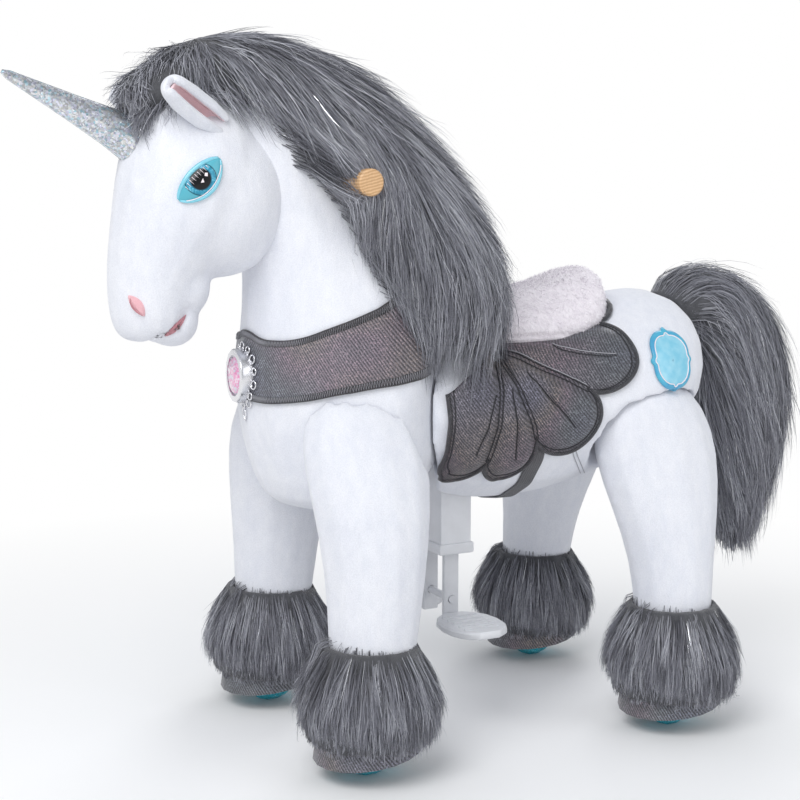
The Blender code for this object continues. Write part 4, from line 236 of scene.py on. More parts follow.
PALE_THREAD = moulded("pale_thread", (0.42, 0.42, 0.46), rough=0.6)
BRIGHT_STEEL = moulded("bright_steel", (0.60, 0.61, 0.63), 0.28, grain=0.00006, wear=0.1, metallic=1.0)
FRAME_STEEL = moulded("frame_steel", (0.42, 0.43, 0.45), 0.38, grain=0.0001, wear=0.15, metallic=0.6)
SILVER = moulded("silver_trim", (0.82, 0.82, 0.85), 0.22, grain=0.0001, wear=0.1, metallic=1.0)
WHITE_PLASTIC = moulded("white_plastic", (0.72, 0.73, 0.76), rough=0.38)
DARK_PLASTIC = moulded("dark_plastic", (0.06, 0.06, 0.065), rough=0.5)
HUB = moulded("hub_plastic", (0.74, 0.80, 0.81), rough=0.3)
LID = moulded("eyelid_vinyl", (0.22, 0.62, 0.76), rough=0.2, grain=0.0001, wear=0.15, Coat_Weight=0.8)
LASH = moulded("lash_white", (0.88, 0.80, 0.84), rough=0.35)
TYRE = glitter("tyre_tread", (0.01, 0.66, 0.84),
               ((0.0, (0.01, 0.56, 0.76)), (0.8, (0.04, 0.76, 0.92)), (1.0, (0.50, 0.95, 1.0))),
               scale=900.0, rough=0.4, metallic=0.0, tilt=0.0004)
HORN = glitter("horn_glitter", (0.84, 0.89, 0.93),
               ((0.0, (0.20, 0.62, 0.78)), (0.22, (0.75, 0.82, 0.88)), (0.5, (0.86, 0.82, 0.74)),
                (0.72, (0.60, 0.58, 0.84)), (1.0, (0.96, 0.97, 1.0))), scale=380.0)


def eye_material():
    """A printed iris with a dark rim, streaks and a pupil, under a clear coat."""
    g = Graph("eye_print", Roughness=0.25, Coat_Weight=0.25, Specular_IOR_Level=0.25)
    spread = g.attribute("iris")
    streak = g.noise(260.0, 2.0, 0.7)
    ring = g.ramp(spread, (0.0, (0.002, 0.002, 0.003)), (0.60, (0.003, 0.004, 0.006)),
                  (0.64, (0.01, 0.10, 0.17)), (0.74, (0.03, 0.30, 0.46)), (0.90, (0.02, 0.22, 0.33)),
                  (0.96, (0.004, 0.04, 0.06)), (1.0, (0.10, 0.42, 0.52)))
    lit = g.ramp(streak, (0.48, 0.0), (0.64, 1.0))
    inside = g.ramp(spread, (0.64, 0.0), (0.70, 1.0), (0.90, 1.0), (0.95, 0.0))
    g.link("Base Color", g.mix("MIX", g.maths("MULTIPLY", lit, inside), ring, (0.14, 0.50, 0.66)))
    return g.bump(streak, 0.0001, 0.2).material


def gem_material():
    """A cut stone, clear with pink in it."""
    g = Graph("pink_stone", Roughness=0.05, Specular_IOR_Level=0.9, Coat_Weight=1.0)
    g.link("Base Color", g.ramp(g.noise(150.0, 1.0), (0.38, (0.62, 0.60, 0.70)),
                                (0.52, (0.76, 0.22, 0.46)), (0.66, (0.80, 0.66, 0.76))))
    return g.bump(g.cells(300.0), 0.0004, 0.4).material


def plaque_material():
    """Printed vinyl: a blue border and a paler field with soft clouds."""
    g = Graph("plaque_print", Roughness=0.35, Coat_Weight=0.3)
    cloud = g.noise(70.0, 2.0)
    field = g.ramp(cloud, (0.35, (0.20, 0.55, 0.72)), (0.65, (0.32, 0.64, 0.78)))
    border = g.ramp(cloud, (0.35, (0.06, 0.34, 0.58)), (0.65, (0.07, 0.44, 0.62)))
    outside = g.ramp(g.attribute("out"), (0.80, 0.0), (0.83, 1.0))
    g.link("Base Color", g.mix("MIX", outside, field, border))
    return g.bump(g.noise(1300.0), 0.0001, 0.5).material


def wood_material():
    """Oiled wood: rings along the dowel and a fine grain."""
    g = Graph("oiled_wood", Roughness=0.45, Specular_IOR_Level=0.4)
    rings = g.waves(90.0, "X", 2.0, g.stretched((0.06, 1.0, 1.0)), "RINGS")
    fine = g.noise(420.0, 3.0, 0.6, g.stretched((0.05, 1.0, 1.0)))
    tone = g.ramp(rings, (0.2, (0.56, 0.33, 0.16)), (0.8, (0.72, 0.47, 0.26)))
    g.link("Base Color", g.mix("MULTIPLY", 0.5, tone, g.ramp(fine, (0.3, 0.7), (0.7, 1.0))))
    return g.bump(fine, 0.0002, 0.6).material


def tinsel_material():
    """Bright flat threads among the fur."""
    g = Graph("silver_tinsel", Roughness=0.18, Metallic=1.0)
    silver = g.ramp(g.attribute("shade"), (0.0, (0.70, 0.72, 0.76)), (1.0, (0.96, 0.96, 0.98)))
    return g.link("Base Color", silver).material


EYE_PRINT = eye_material()
GEM = gem_material()
PLAQUE_PRINT = plaque_material()
WOOD = wood_material()
TINSEL = tinsel_material()

# Mesh helpers


def new_object(name, mesh, material, smooth=True):
    piece = bpy.data.objects.new(name, mesh)
    bpy.context.scene.collection.objects.link(piece)
    mesh.materials.append(material)
    if smooth:
        mesh.polygons.foreach_set("use_smooth", np.ones(len(mesh.polygons), bool))
    return piece


def flipped(points, sign):
    """Points of the left side, or their mirror image on the right."""
    return [Vector((p[0] * sign, p[1], p[2])) for p in points]


def faces_object(name, points, faces, material, smooth=True, sign=LEFT):
    """An object from points and faces of the left side, with its faces turned outwards."""
    mesh = bpy.data.meshes.new(name)
    mesh.from_pydata([tuple(p) for p in flipped(points, sign)], [], faces)
    mesh.validate()
    made = bmesh.new()
    made.from_mesh(mesh)
    bmesh.ops.recalc_face_normals(made, faces=made.faces)
    made.to_mesh(mesh)
    made.free()
    return new_object(name, mesh, material, smooth)


def settle(piece):
    """The piece with its modifiers applied."""
    shown = piece.evaluated_get(bpy.context.evaluated_depsgraph_get())
    mesh = bpy.data.meshes.new_from_object(shown)
    piece.modifiers.clear()
    piece.data = mesh
    mesh.polygons.foreach_set("use_smooth", np.ones(len(mesh.polygons), bool))
    return piece


def coords(mesh):
    """The vertices of a mesh as rows of numbers."""
    co = np.empty(len(mesh.vertices) * 3, np.float32)
    mesh.vertices.foreach_get("co", co)
    return co.reshape(-1, 3).astype(float)


def triangles_of(mesh):
    mesh.calc_loop_triangles()
    corners = np.empty(len(mesh.loop_triangles) * 3, np.int32)
    mesh.loop_triangles.foreach_get("vertices", corners)
    return corners.reshape(-1, 3)


def tree_of(piece):
    """A tree that finds the nearest points of a piece, and what rays meet on it."""
    return BVHTree.FromPolygons(coords(piece.data).tolist(), triangles_of(piece.data).tolist())


def modifier(piece, kind, **settings):
    made = piece.modifiers.new(kind.lower(), kind)
    for key, value in settings.items():
        setattr(made, key, value)
    return made


def put(piece, body, slot):
    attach(piece, body)
    return piece


def skin(name, node, material, body, slot, voxel=0.005, rounds=8, fill=0.8, subdivide=True, fuller=()):
    """A stuffed skin with the form of a CAD solid, and of rounds that fill it out."""
    mesh = NODES[node].data.copy()
    mesh.materials.clear()
    piece = new_object(name, mesh, material)
    form = bmesh.new()
    form.from_mesh(mesh)
    for middle, size in fuller:
        bmesh.ops.create_icosphere(form, subdivisions=4, radius=1,
                                   matrix=Matrix.Translation(middle) @ Matrix.Diagonal((*size, 1)))
    form.to_mesh(mesh)
    form.free()
    modifier(piece, "REMESH", mode="VOXEL", voxel_size=voxel)
    modifier(piece, "SMOOTH", factor=0.5, iterations=rounds)
    if subdivide:
        modifier(piece, "SUBSURF", levels=1, render_levels=1)
    settle(piece)
    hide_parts(node)
    return put(piece, body, slot)


def grids(rows, columns, spot):
    """Grids of points: spot gives the outer point, the inner one and more at a row and a column."""
    made = [[spot(row, column) for column in columns] for row in rows]
    return [[[points[k] for points in row] for row in made] for k in range(len(made[0][0]))]


def length_of(line):
    return sum((b - a).length for a, b in zip(line, line[1:]))


def shell(outer, inner, closed=False):
    """Points and faces of a closed skin between two grids, each a list of rows."""
    rows, columns = len(outer), len(outer[0])
    points = [p for row in outer for p in row] + [p for row in inner for p in row]
    half = rows * columns
    spans = columns if closed else columns - 1
    faces = []
    for r in range(rows - 1):
        for c in range(spans):
            a, b = r * columns + c, r * columns + (c + 1) % columns
            faces.append((a, b, b + columns, a + columns))
            faces.append((half + a, half + a + columns, half + b + columns, half + b))
    for r in (0, rows - 1):
        for c in range(spans):
            a, b = r * columns + c, r * columns + (c + 1) % columns
            faces.append((a, half + a, half + b, b))
    if not closed:
        for c in (0, columns - 1):
            for r in range(rows - 1):
                a, b = r * columns + c, (r + 1) * columns + c
                faces.append((a, b, half + b, half + a))
    return points, faces


def threads(name, lines, radius, material, body, slot, sides=6, closed=False, sign=LEFT):
    """Round threads or welts along lines of points, in one piece."""
    points, faces = [], []
    for line in lines:
        line = flipped(line, sign)
        count, first, up = len(line), len(points), None
        for i, p in enumerate(line):
            before = line[i - 1] if i or closed else p
            after = line[(i + 1) % count] if i < count - 1 or closed else p
            go = (after - before).normalized()
            up = go.orthogonal() if up is None else up - go * up.dot(go)
            up.normalize()
            side = go.cross(up)
            size = radius(i / (count - 1)) if callable(radius) else radius
            turns = [math.tau * k / sides for k in range(sides)]
            points += [p + (up * math.cos(turn) + side * math.sin(turn)) * size for turn in turns]
        for i in range(count if closed else count - 1):
            here, there = first + i * sides, first + (i + 1) % count * sides
            for k in range(sides):
                after = (k + 1) % sides
                faces.append((here + k, here + after, there + after, there + k))
        if not closed:
            faces.append(tuple(first + k for k in range(sides)))
            faces.append(tuple(first + (count - 1) * sides + k for k in range(sides)))
    return put(faces_object(name, points, faces, material), body, slot)


CRISP_EDGE = math.radians(38.0)


def dress(node, material):
    """A CAD node with its own material and smooth rounds between crisp edges."""
    piece = NODES[node]
    piece.data.materials.append(material)
    piece.data.polygons.foreach_set("use_smooth", np.ones(len(piece.data.polygons), bool))
    modifier(piece, "WELD", merge_threshold=0.00002)
    modifier(piece, "EDGE_SPLIT", split_angle=CRISP_EDGE)
    modifier(piece, "WEIGHTED_NORMAL", keep_sharp=True)


# Stage

VIEW_AZ, VIEW_EL, VIEW_DISTANCE = math.radians(63.2), math.radians(8.1), 2.091
VIEW_AIM = Vector((0, MIDDLE_Y - 0.0962, 0.433))
VIEW_LENS = 72.0
VIEW_BACK = Vector((math.sin(VIEW_AZ) * math.cos(VIEW_EL), -math.cos(VIEW_AZ) * math.cos(VIEW_EL),
                    math.sin(VIEW_EL)))
VIEW_RIGHT = Vector((math.cos(VIEW_AZ), math.sin(VIEW_AZ), 0))
VIEW_UP = VIEW_BACK.cross(VIEW_RIGHT)
VIEW_FOCAL = 1600
VIEW_MIDDLE = 400


def seen(tree, across, down):
    """The point of a form that the photograph shows at a pixel, and the way that it faces there."""
    go = (VIEW_RIGHT * (across - VIEW_MIDDLE) / VIEW_FOCAL + VIEW_UP * (VIEW_MIDDLE - down) / VIEW_FOCAL
          - VIEW_BACK)
    return tree.ray_cast(VIEW_AIM + VIEW_BACK * VIEW_DISTANCE, go.normalized())[:2]


def raised(spot, lift):
    """The point over a place on a form, given with the way that it faces."""
    return spot[0] + spot[1] * lift


def build_camera():
    turn = Matrix((VIEW_RIGHT, VIEW_UP, VIEW_BACK)).transposed()
    data = bpy.data.cameras.new("camera")
    data.lens = VIEW_LENS
    data.clip_end = 50
    camera = bpy.data.objects.new("camera", data)
    camera.matrix_world = Matrix.Translation(VIEW_AIM + VIEW_BACK * VIEW_DISTANCE) @ turn.to_4x4()
    bpy.context.scene.collection.objects.link(camera)
    bpy.context.scene.camera = camera


def build_lamp(name, place, aim, size, power):
    data = bpy.data.lights.new(name, "AREA")
    data.shape = "DISK"
    data.size = size
    data.energy = power
    lamp = bpy.data.objects.new(name, data)
    lamp.location = place
    lamp.rotation_euler = (Vector(aim) - Vector(place)).to_track_quat("-Z", "Y").to_euler()
    bpy.context.scene.collection.objects.link(lamp)


def build_world():
    world = bpy.data.worlds.new("studio")
    world.use_nodes = True
    bpy.context.scene.world = world
    tree = world.node_tree
    path = tree.nodes.new("ShaderNodeLightPath")
    plain = tree.nodes["Background"]
    plain.inputs[0].default_value = (0.93, 0.96, 1.0, 1)
    plain.inputs[1].default_value = 0.58
    white = tree.nodes.new("ShaderNodeBackground")
    white.inputs[0].default_value = (1, 1, 1, 1)
    mix = tree.nodes.new("ShaderNodeMixShader")
    tree.links.new(path.outputs["Is Camera Ray"], mix.inputs[0])
    tree.links.new(plain.outputs[0], mix.inputs[1])
    tree.links.new(white.outputs[0], mix.inputs[2])
    tree.links.new(mix.outputs[0], tree.nodes["World Output"].inputs[0])


def build_floor():
    g = Graph("floor_paper", Roughness=0.9, Specular_IOR_Level=0.1, Base_Color=(0.95, 0.95, 0.955, 1))
    away = g.add("VectorMath", {0: g.place}, operation="LENGTH").outputs["Value"]
    fade = g.ramp(g.maths("DIVIDE", away, 3.0), (0.14, 0.0), (0.48, 1.0))
    glow = g.add("Emission", values={"Color": (1, 1, 1, 1), "Strength": 1.0})
    mix = g.add("MixShader", {0: fade, 1: g.shader.outputs[0], 2: glow.outputs[0]})
    g.tree.links.new(mix.outputs[0], g.tree.nodes["Material Output"].inputs[0])
    size, count = 14.0, 64
    turns = [math.tau * i / count for i in range(count)]
    rim = [(size * math.cos(turn), size * math.sin(turn), 0) for turn in turns]
    faces_object("floor", rim, [tuple(range(count))], g.material)


bpy.context.scene.view_settings.view_transform = "Standard"
build_camera()
build_world()
build_floor()
for lamp in (("key", (1.6, -1.9, 2.6), (0, 0, 0.45), 2.2, 58),
             ("fill", (2.6, 1.2, 1.5), (0, 0, 0.4), 2.0, 13),
             ("rim", (-1.8, 1.6, 2.2), (0, 0, 0.5), 1.6, 20)):
    build_lamp(*lamp)

# Plush skins

TRUNK = skin("trunk_plush", "trunk_shell", WHITE_PLUSH, *TRUNK_PLUSH, voxel=0.0057, rounds=5)
NECK = skin("neck_plush", "neck_and_chest", WHITE_PLUSH, *FRONT_PLUSH, voxel=0.0057, rounds=5)
# Rounds that fill out the head, each a middle and the half sizes
CHEEK = ((0, STEER_Y - 0.133, 0.700), (0.086, 0.104, 0.100))
JAW = ((0, STEER_Y - 0.174, 0.593), (0.052, 0.032, 0.040))
CHIN = ((0, STEER_Y - 0.188, 0.551), (0.042, 0.032, 0.033))
HEAD = skin("head_plush", "head", WHITE_PLUSH, *FRONT_PLUSH, voxel=0.0045, fuller=(CHEEK, JAW, CHIN))
LIMBS = [skin(f"{end}_leg_plush_{side}", f"{end}_leg_{side}", WHITE_PLUSH, body, "white_plush",
              voxel=0.0055)
         for end, body in (("front", "front_end"), ("hind", "hind_legs")) for side in ("left", "right")]

for node in NODES:
    NODES[node].data.materials.clear()
for material, names in (
        (FRAME_STEEL, "chassis_frame front_fork hip_crankshaft hind_tube_left hind_tube_right rocker"),
        (WHITE_PLASTIC, "pedal_housing pedal_bar_left pedal_bar_right pedal_cross_rod "
                        "pedal_left pedal_right"),
        (DARK_PLASTIC, "saddle_board hip_bush_left hip_bush_right head_tube_bush"),
        (BRIGHT_STEEL, "carriage_pin"), (HORN, "horn"), (WOOD, "handle_bar"), (SILVER, "brooch")):
    for node in names.split():
        dress(node, material)
for end in ("front", "hind"):
    for side in ("left", "right"):
        dress(f"hoof_{end}_{side}", HOOF_CLOTH)
        dress(f"axle_{end}_{side}", BRIGHT_STEEL)
        dress(f"tyre_{end}_{side}", TYRE)
        dress(f"hub_{end}_{side}", HUB)

# Face

HEAD_TREE = tree_of(HEAD)
MOUTH_PIXELS = ((185.0, 315.4), (181.6, 322.5), (177.5, 329.0), (172.0, 334.0), (166.5, 336.6),
                (161.5, 337.4))


def crease(piece, line, depth, width):
    """Sinks the skin along a line and its mirror image, as a seam does."""
    finder = kdtree.KDTree(len(line) * 2)
    for index, place in enumerate(flipped(line, LEFT) + flipped(line, RIGHT)):
        finder.insert(place, index)
    finder.balance()
    for vertex in piece.data.vertices:
        away = finder.find(vertex.co)[2]
        if away < width * 3:
            vertex.co -= vertex.normal * depth * math.exp(-(away / width) ** 2)


def dense(line, count):
    """A line of points drawn again with even steps."""
    line = np.array([tuple(p) for p in line])
    run = np.concatenate([[0], np.cumsum(np.linalg.norm(np.diff(line, axis=0), axis=1))])
    at = np.linspace(0, run[-1], count)
    return [Vector(p) for p in zip(*(np.interp(at, run, column) for column in line.T))]


def almond(tree, start, end, above, below, lift, height, along=28, across=14, power=0.8):
    """Grids of a pointed patch between two pixels of the photograph, laid on a form and domed."""
    start, end = Vector(start), Vector(end)
    side = Vector((end.y - start.y, start.x - end.x)).normalized()

    def spot(i, j):
        u, v = j / along, 2 * i / across - 1
        half = (above if v > 0 else below) * max(0.02, math.sin(math.pi * u)) ** power
        pixel = start.lerp(end, u) + side * half * v
        place, facing = seen(tree, *pixel)
        dome = (1 - v * v) * math.sin(math.pi * min(0.98, max(0.02, u))) ** 0.5
        return place + facing * (lift + height * dome), place - facing * 0.0015, pixel

    return grids(range(across + 1), range(along + 1), spot)


def pixel_line(tree, pixels, lift):
    """A line over a form through pixels of the photograph."""
    spots = [seen(tree, p.x, p.y) for p in dense([Vector((*p, 0)) for p in pixels], 24)]
    return [raised(spot, lift) for spot in spots if spot[0]]


mouth_line = pixel_line(HEAD_TREE, MOUTH_PIXELS + ((157.0, 340.0),), 0)
lip = mouth_line[-1]
chin_line = [lip.lerp(Vector((0, lip.y - 0.006, lip.z)), k / 8) for k in range(1, 9)]
crease(HEAD, mouth_line + chin_line, 0.0050, 0.0065)
HEAD_TREE = tree_of(HEAD)

EYE_GRID = almond(HEAD_TREE, (179.0, 200.0), (218.5, 158.5), 10.2, 17.4, 0.0022, 0.0040, 40, 22,
                  power=0.66)
IRIS, IRIS_REACH = Vector((200.2, 179.5)), 16.5
iris_spread = [(pixel - IRIS).length / IRIS_REACH for row in EYE_GRID[2] for pixel in row]
LID_EDGES = (("upper", EYE_GRID[0][-1], 0.0031), ("lower", EYE_GRID[0][0], 0.0026))


def eye_spot(across, down, lift=0.0060):
    return raised(seen(HEAD_TREE, across, down), lift)


# White strokes over the upper part of the eye's dome: painted reflections of the lashes.
LASH_REFLECTIONS = []
for k in range(9):
    share = k / 8
    middle = math.sin(math.pi * share)
    root = Vector((185.6, 187.0)).lerp(Vector((205.0, 166.2)), share) + Vector((-1.5, -1.5)) * middle
    tip = root + Vector((4.2, 3.6)) * (0.8 + 0.4 * middle)
    LASH_REFLECTIONS.append([eye_spot(*root.lerp(tip, s / 4)) for s in range(5)])
# Painted highlights: white patches on the eye's dome where a lamp shines on its coat.
EYE_HIGHLIGHTS = ((((200.0, 183.0), (203.6, 182.6), (202.2, 178.8)), "eye_highlight_low"),
              (((203.8, 176.6), (206.8, 177.0), (207.0, 173.6), (204.0, 173.4)), "eye_highlight_high"))
# A white line just inside the lower lid: a painted highlight on the lid's inner edge.
LID_HIGHLIGHT = [a.lerp(b, 0.55) + Vector((0.0013, 0, 0)) for a, b in zip(EYE_GRID[0][0], EYE_GRID[0][3])]
LID_HIGHLIGHT = LID_HIGHLIGHT[3:-3]

for side, sign in SIDES:
    points, faces = shell(*EYE_GRID[:2])
    eye = faces_object(f"eye_dome_{side}", points, faces, EYE_PRINT, sign=sign)
    eye.data.attributes.new("iris", "FLOAT", "POINT").data.foreach_set("value", iris_spread * 2)
    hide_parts(f"eye_{side}")
    put(eye, *EYE)
    for part, line, wide in LID_EDGES:
        threads(f"eyelid_{part}_{side}", [dense(line, 40)],
                lambda s: wide * (0.35 + 0.65 * math.sin(math.pi * s) ** 0.5),
                LID, *EYE, sides=10, sign=sign)
    threads(f"eyelid_highlight_{side}", [dense(LID_HIGHLIGHT, 30)], 0.0006, LASH, *EYE, sign=sign)
    threads(f"lash_reflections_{side}", LASH_REFLECTIONS, lambda s: 0.00045 * (1.15 - s), LASH, *EYE, sides=5, sign=sign)
    for outline, label in EYE_HIGHLIGHTS:
        low, high = ([eye_spot(*p, lift) for p in outline] for lift in (0.0057, 0.0063))
        count = len(outline)
        faces = [tuple(range(count)), tuple(range(count, 2 * count))]
        faces += [(k, (k + 1) % count, count + (k + 1) % count, count + k) for k in range(count)]
        put(faces_object(f"{label}_{side}", low + high, faces, LASH, smooth=False, sign=sign), *EYE)

NOSTRIL = almond(HEAD_TREE, (128.6, 295.6), (144.6, 316.0), 6.4, 4.6, 0.0006, 0.0030, power=0.7)
FLAP = almond(HEAD_TREE, (131.6, 297.6), (144.2, 315.2), 4.6, 2.2, 0.0022, 0.0028)
FLAP_PIXELS = ((131.8, 297.8), (131.6, 302.0), (133.6, 306.8), (138.0, 311.6), (143.6, 315.2))
FLAP_LINE = pixel_line(HEAD_TREE, FLAP_PIXELS, 0.0040)
MOUTH = almond(HEAD_TREE, (164.4, 335.8), (185.6, 314.6), 0.6, 5.2, 0.0014, 0.0016, power=0.75)
for side, sign in SIDES:
    for label, grid, material in (("nostril", NOSTRIL, PINK_PLUSH), ("nostril_flap", FLAP, PINK_PLUSH),
                                  ("mouth", MOUTH, SHADED_PINK)):
        points, faces = shell(*grid[:2])
        put(faces_object(f"{label}_{side}", points, faces, material, sign=sign), *PINK)
    # The crease under the nostril's flap: a dark pink line of painted shade.
    threads(f"nostril_crease_{side}", [FLAP_LINE], lambda s: 0.0007 * (0.4 + math.sin(math.pi * s)),
            SHADED_PINK, *PINK, sign=sign)

# Ears: a leaf folded along its length, white outside and pink in the fold
EAR_ROOT = Vector((0.066, STEER_Y - 0.146, 0.783))
EAR_ALONG = Vector((0.438, -0.778, 0.449)).normalized()
EAR_ACROSS = Vector((0.899, 0.379, -0.219))
EAR_ACROSS = (EAR_ACROSS - EAR_ALONG * EAR_ACROSS.dot(EAR_ALONG)).normalized()
EAR_BACK = EAR_ALONG.cross(EAR_ACROSS).normalized()
if EAR_BACK.z < 0:
    EAR_BACK = -EAR_BACK
EAR_LENGTH = 0.098
# Heights up the ear, and its share of the full width there
EAR_WIDTHS = ((0, 0.25, 0.6, 0.85, 0.95, 1.0), (0.70, 1.0, 0.98, 0.76, 0.54, 0.20))


def ear_grid(wide, deep, opening, inset):
    """Points of a leaf that curls round its length, open along one side."""
    grid = []
    for i in range(33):
        up = i / 32
        width = float(np.interp(up, *EAR_WIDTHS))
        row = []
        for j in range(29):
            turn = math.radians(opening) * (j / 28 * 2 - 1)
            curl = 1 + 0.25 * math.cos(turn)
            row.append(EAR_ROOT + EAR_ALONG * (EAR_LENGTH * up - inset * up)
                       - EAR_ACROSS * math.cos(turn) * wide * width * curl
                       + EAR_BACK * math.sin(turn) * deep * (0.35 + 0.65 * width)
                       - EAR_ACROSS * 0.006 * math.sin(math.pi * up))
        grid.append(row)
    return grid


EAR_TREES = []
for side, sign in SIDES:
    points, faces = shell(ear_grid(0.0225, 0.0190, 155, 0), ear_grid(0.0150, 0.0088, 150, 0.009))
    ear = faces_object(f"ear_plush_{side}", points, faces, WHITE_PLUSH, sign=sign)
    modifier(ear, "REMESH", mode="VOXEL", voxel_size=0.0016)
    modifier(ear, "SMOOTH", factor=0.5, iterations=6)
    settle(ear)
    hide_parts(f"ear_{side}")
    put(ear, *FRONT_PLUSH)
    EAR_TREES.append(tree_of(ear))
    lining = shell(ear_grid(0.0158, 0.0096, 138, 0.010), ear_grid(0.0040, 0.0080, 138, 0.011))
    put(faces_object(f"ear_lining_{side}", *lining, EAR_PINK, sign=sign), *PINK)

# Trunk trim

TRUNK_TREE = tree_of(TRUNK)
NECK_TREE = tree_of(NECK)
TRUNK_POINTS = coords(TRUNK.data)


def trunk_ring(y):
    """Middle height, half height and half width of the trunk at a place along it."""
    near = TRUNK_POINTS[abs(TRUNK_POINTS[:, 1] - y) < 0.006]
    low, high = near[:, 2].min(), near[:, 2].max()
    return (low + high) / 2, (high - low) / 2, near[:, 0].max()


RINGS_Y = np.linspace(TRUNK_POINTS[:, 1].min() + 0.008, TRUNK_POINTS[:, 1].max() - 0.008, 70)
RINGS = np.array([trunk_ring(y) for y in RINGS_Y])


def drape(y, z):
    """The trunk's left side where a side view shows (y, z), and the way that it faces there."""
    middle, half_height, half_width = (float(np.interp(y, RINGS_Y, RINGS[:, k])) for k in range(3))
    up = max(-0.96, min(0.96, (z - middle) / half_height))
    out = Vector((half_width * math.sqrt(1 - up * up), 0, half_height * up))
    centre = Vector((0, y, middle))
    place, facing = TRUNK_TREE.ray_cast(centre + out * 2, -out.normalized())[:2]
    if place is None:
        place, facing = TRUNK_TREE.find_nearest(centre + out)[:2]
    return place, facing


WING_ROOT = Vector((MIDDLE_Y - 0.010, 0.502))
WING_REACH = 0.190
WING_CLEAR = 0.1625
# Lobes of the wing: angle below straight back, reach there, and reach of the lobe's tip that follows
WING_LOBES = ((-34.0, 0.92, 1.08), (-21.5, 0.99, 1.13), (-9.0, 0.89, 1.01), (24.0, 0.70, 0.86),
              (71.0, 0.62, 0.83), (102.0, 0.73, 0.87), (122.0, 0.80, 0.80))
# The two ends of its straight front edge
WING_FRONT = ((122, 0.80), (149, 0.50))
# Darts: angle, and the shares of the reach where they start and end
WING_DARTS = ((-15.0, 0.62, 0.86), (6.0, 0.46, 0.86), (47.0, 0.28, 0.80), (87.0, 0.30, 0.82),
              (112.0, 0.34, 0.78))
WING_SEAMS = tuple(angle for angle, _, _ in WING_LOBES[1:-1])


def wing_outline():
    """The edge of the wing as angles and shares of its reach: lobes, then a straight front edge."""
    edge = []
    for (start, reach, tip), (end, end_reach, _) in zip(WING_LOBES, WING_LOBES[1:]):
        count = max(12, int((end - start) * 1.1))
        for step in range(count):
            share = step / count
            bulge = (tip - (reach + end_reach) / 2) * math.sin(math.pi * share) ** 0.6
            edge.append((start + (end - start) * share, reach + (end_reach - reach) * share + bulge))
    low, high = (Vector((math.cos(turn), math.sin(turn))) * reach
                 for turn, reach in ((math.radians(angle), reach) for angle, reach in WING_FRONT))
    for step in range(17):
        at = low.lerp(high, step / 16)
        edge.append((math.degrees(math.atan2(at.y, at.x)), at.length))
    return edge


def wing_place(angle, out):
    turn = math.radians(angle)
    return drape(WING_ROOT.x + out * math.cos(turn), WING_ROOT.y - out * math.sin(turn))


def wing_fit(angle, reach):
    """The reach, drawn in where the wing would touch the chest as it turns."""
    while reach > 0.03:
        place = wing_place(angle, reach)[0]
        if math.hypot(place.x, place.y - STEER_Y) > WING_CLEAR:
            return reach
        reach -= 0.002
    return reach


def puff(angle, out, reach):
    """How far the quilted cloth stands off the trunk."""
    lobe = min(abs(angle - seam) for seam in WING_SEAMS) * math.pi / 180 * out
    edge, along = reach - out, out / reach
    rise = 0.0052 + 0.0085 * (1 - math.exp(-(lobe / 0.011) ** 2)) * (1 - math.exp(-(edge / 0.014) ** 2))
    for dart, start, end in WING_DARTS:
        if start < along < end:
            away = abs(angle - dart) * math.pi / 180 * out
            deep = 0.0040 * math.sin(math.pi * (along - start) / (end - start)) ** 0.3
            rise -= deep * math.exp(-(away / 0.0028) ** 2)
    return rise


WING_EDGE = [(angle, wing_fit(angle, reach * WING_REACH)) for angle, reach in wing_outline()]
WING_STEPS = 26
WING_START = 0.10


def wing_pair(edge, step):
    angle, reach = edge
    out = reach * (WING_START + 0.90 * step / WING_STEPS)
    place, facing = wing_place(angle, out)
    return place + facing * puff(angle, out, reach), place + facing * 0.0012


def on_wing(angle, share, shift, lift):
    """A point on the quilted cloth, at a share of its reach and a distance to one side."""
    reach = float(np.interp(angle, [a for a, _ in WING_EDGE], [r for _, r in WING_EDGE]))
    out = reach * share
    moved = angle + math.degrees(shift / out)
    return raised(wing_place(moved, out), puff(moved, out, reach) + lift)


def wing_line(angle, start, length, steps, shift=0.0, lift=0.0006):
    return [on_wing(angle, start + length * s / steps, shift, lift) for s in range(steps + 1)]


seam_lines = [wing_line(seam, 0.14, 0.83, 40, shift)
              for seam in WING_SEAMS for shift in (-0.0026, 0.0026)]
seam_lines += [wing_line(dart, start, end - start, 24) for dart, start, end in WING_DARTS]
pale_lines = [wing_line(24.0, 0.20, 0.74, 40, -0.0042), wing_line(6.0, 0.46, 0.40, 30, -0.0024, 0.0010)]
HEM = 0.0075
hem_line = [raised(wing_place(angle, reach - HEM), puff(angle, reach - HEM, reach) + 0.0004)
            for angle, reach in WING_EDGE]
piping_line = [raised(wing_place(*edge), 0.0042) for edge in WING_EDGE]
WING_THREADS = (("seams", seam_lines, 0.0008, THREAD, 5),
                ("stitches", pale_lines, 0.0006, PALE_THREAD, 5),
                ("hem", [hem_line], 0.0009, THREAD, 5),
                ("piping", [piping_line], 0.0033, BINDING, 10))
wing_shell = shell(*grids(WING_EDGE, range(WING_STEPS + 1), wing_pair))
for side, sign in SIDES:
    wing = faces_object(f"wing_cloth_{side}", *wing_shell, WING_CLOTH, sign=sign)
    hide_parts(f"wing_{side}")
    WING_TREE = tree_of(wing)
    put(wing, *TRUNK_MESH)
    for label, lines, radius, material, sides in WING_THREADS:
        threads(f"wing_{label}_{side}", lines, radius, material, *TRUNK_MESH, sides=sides, sign=sign)

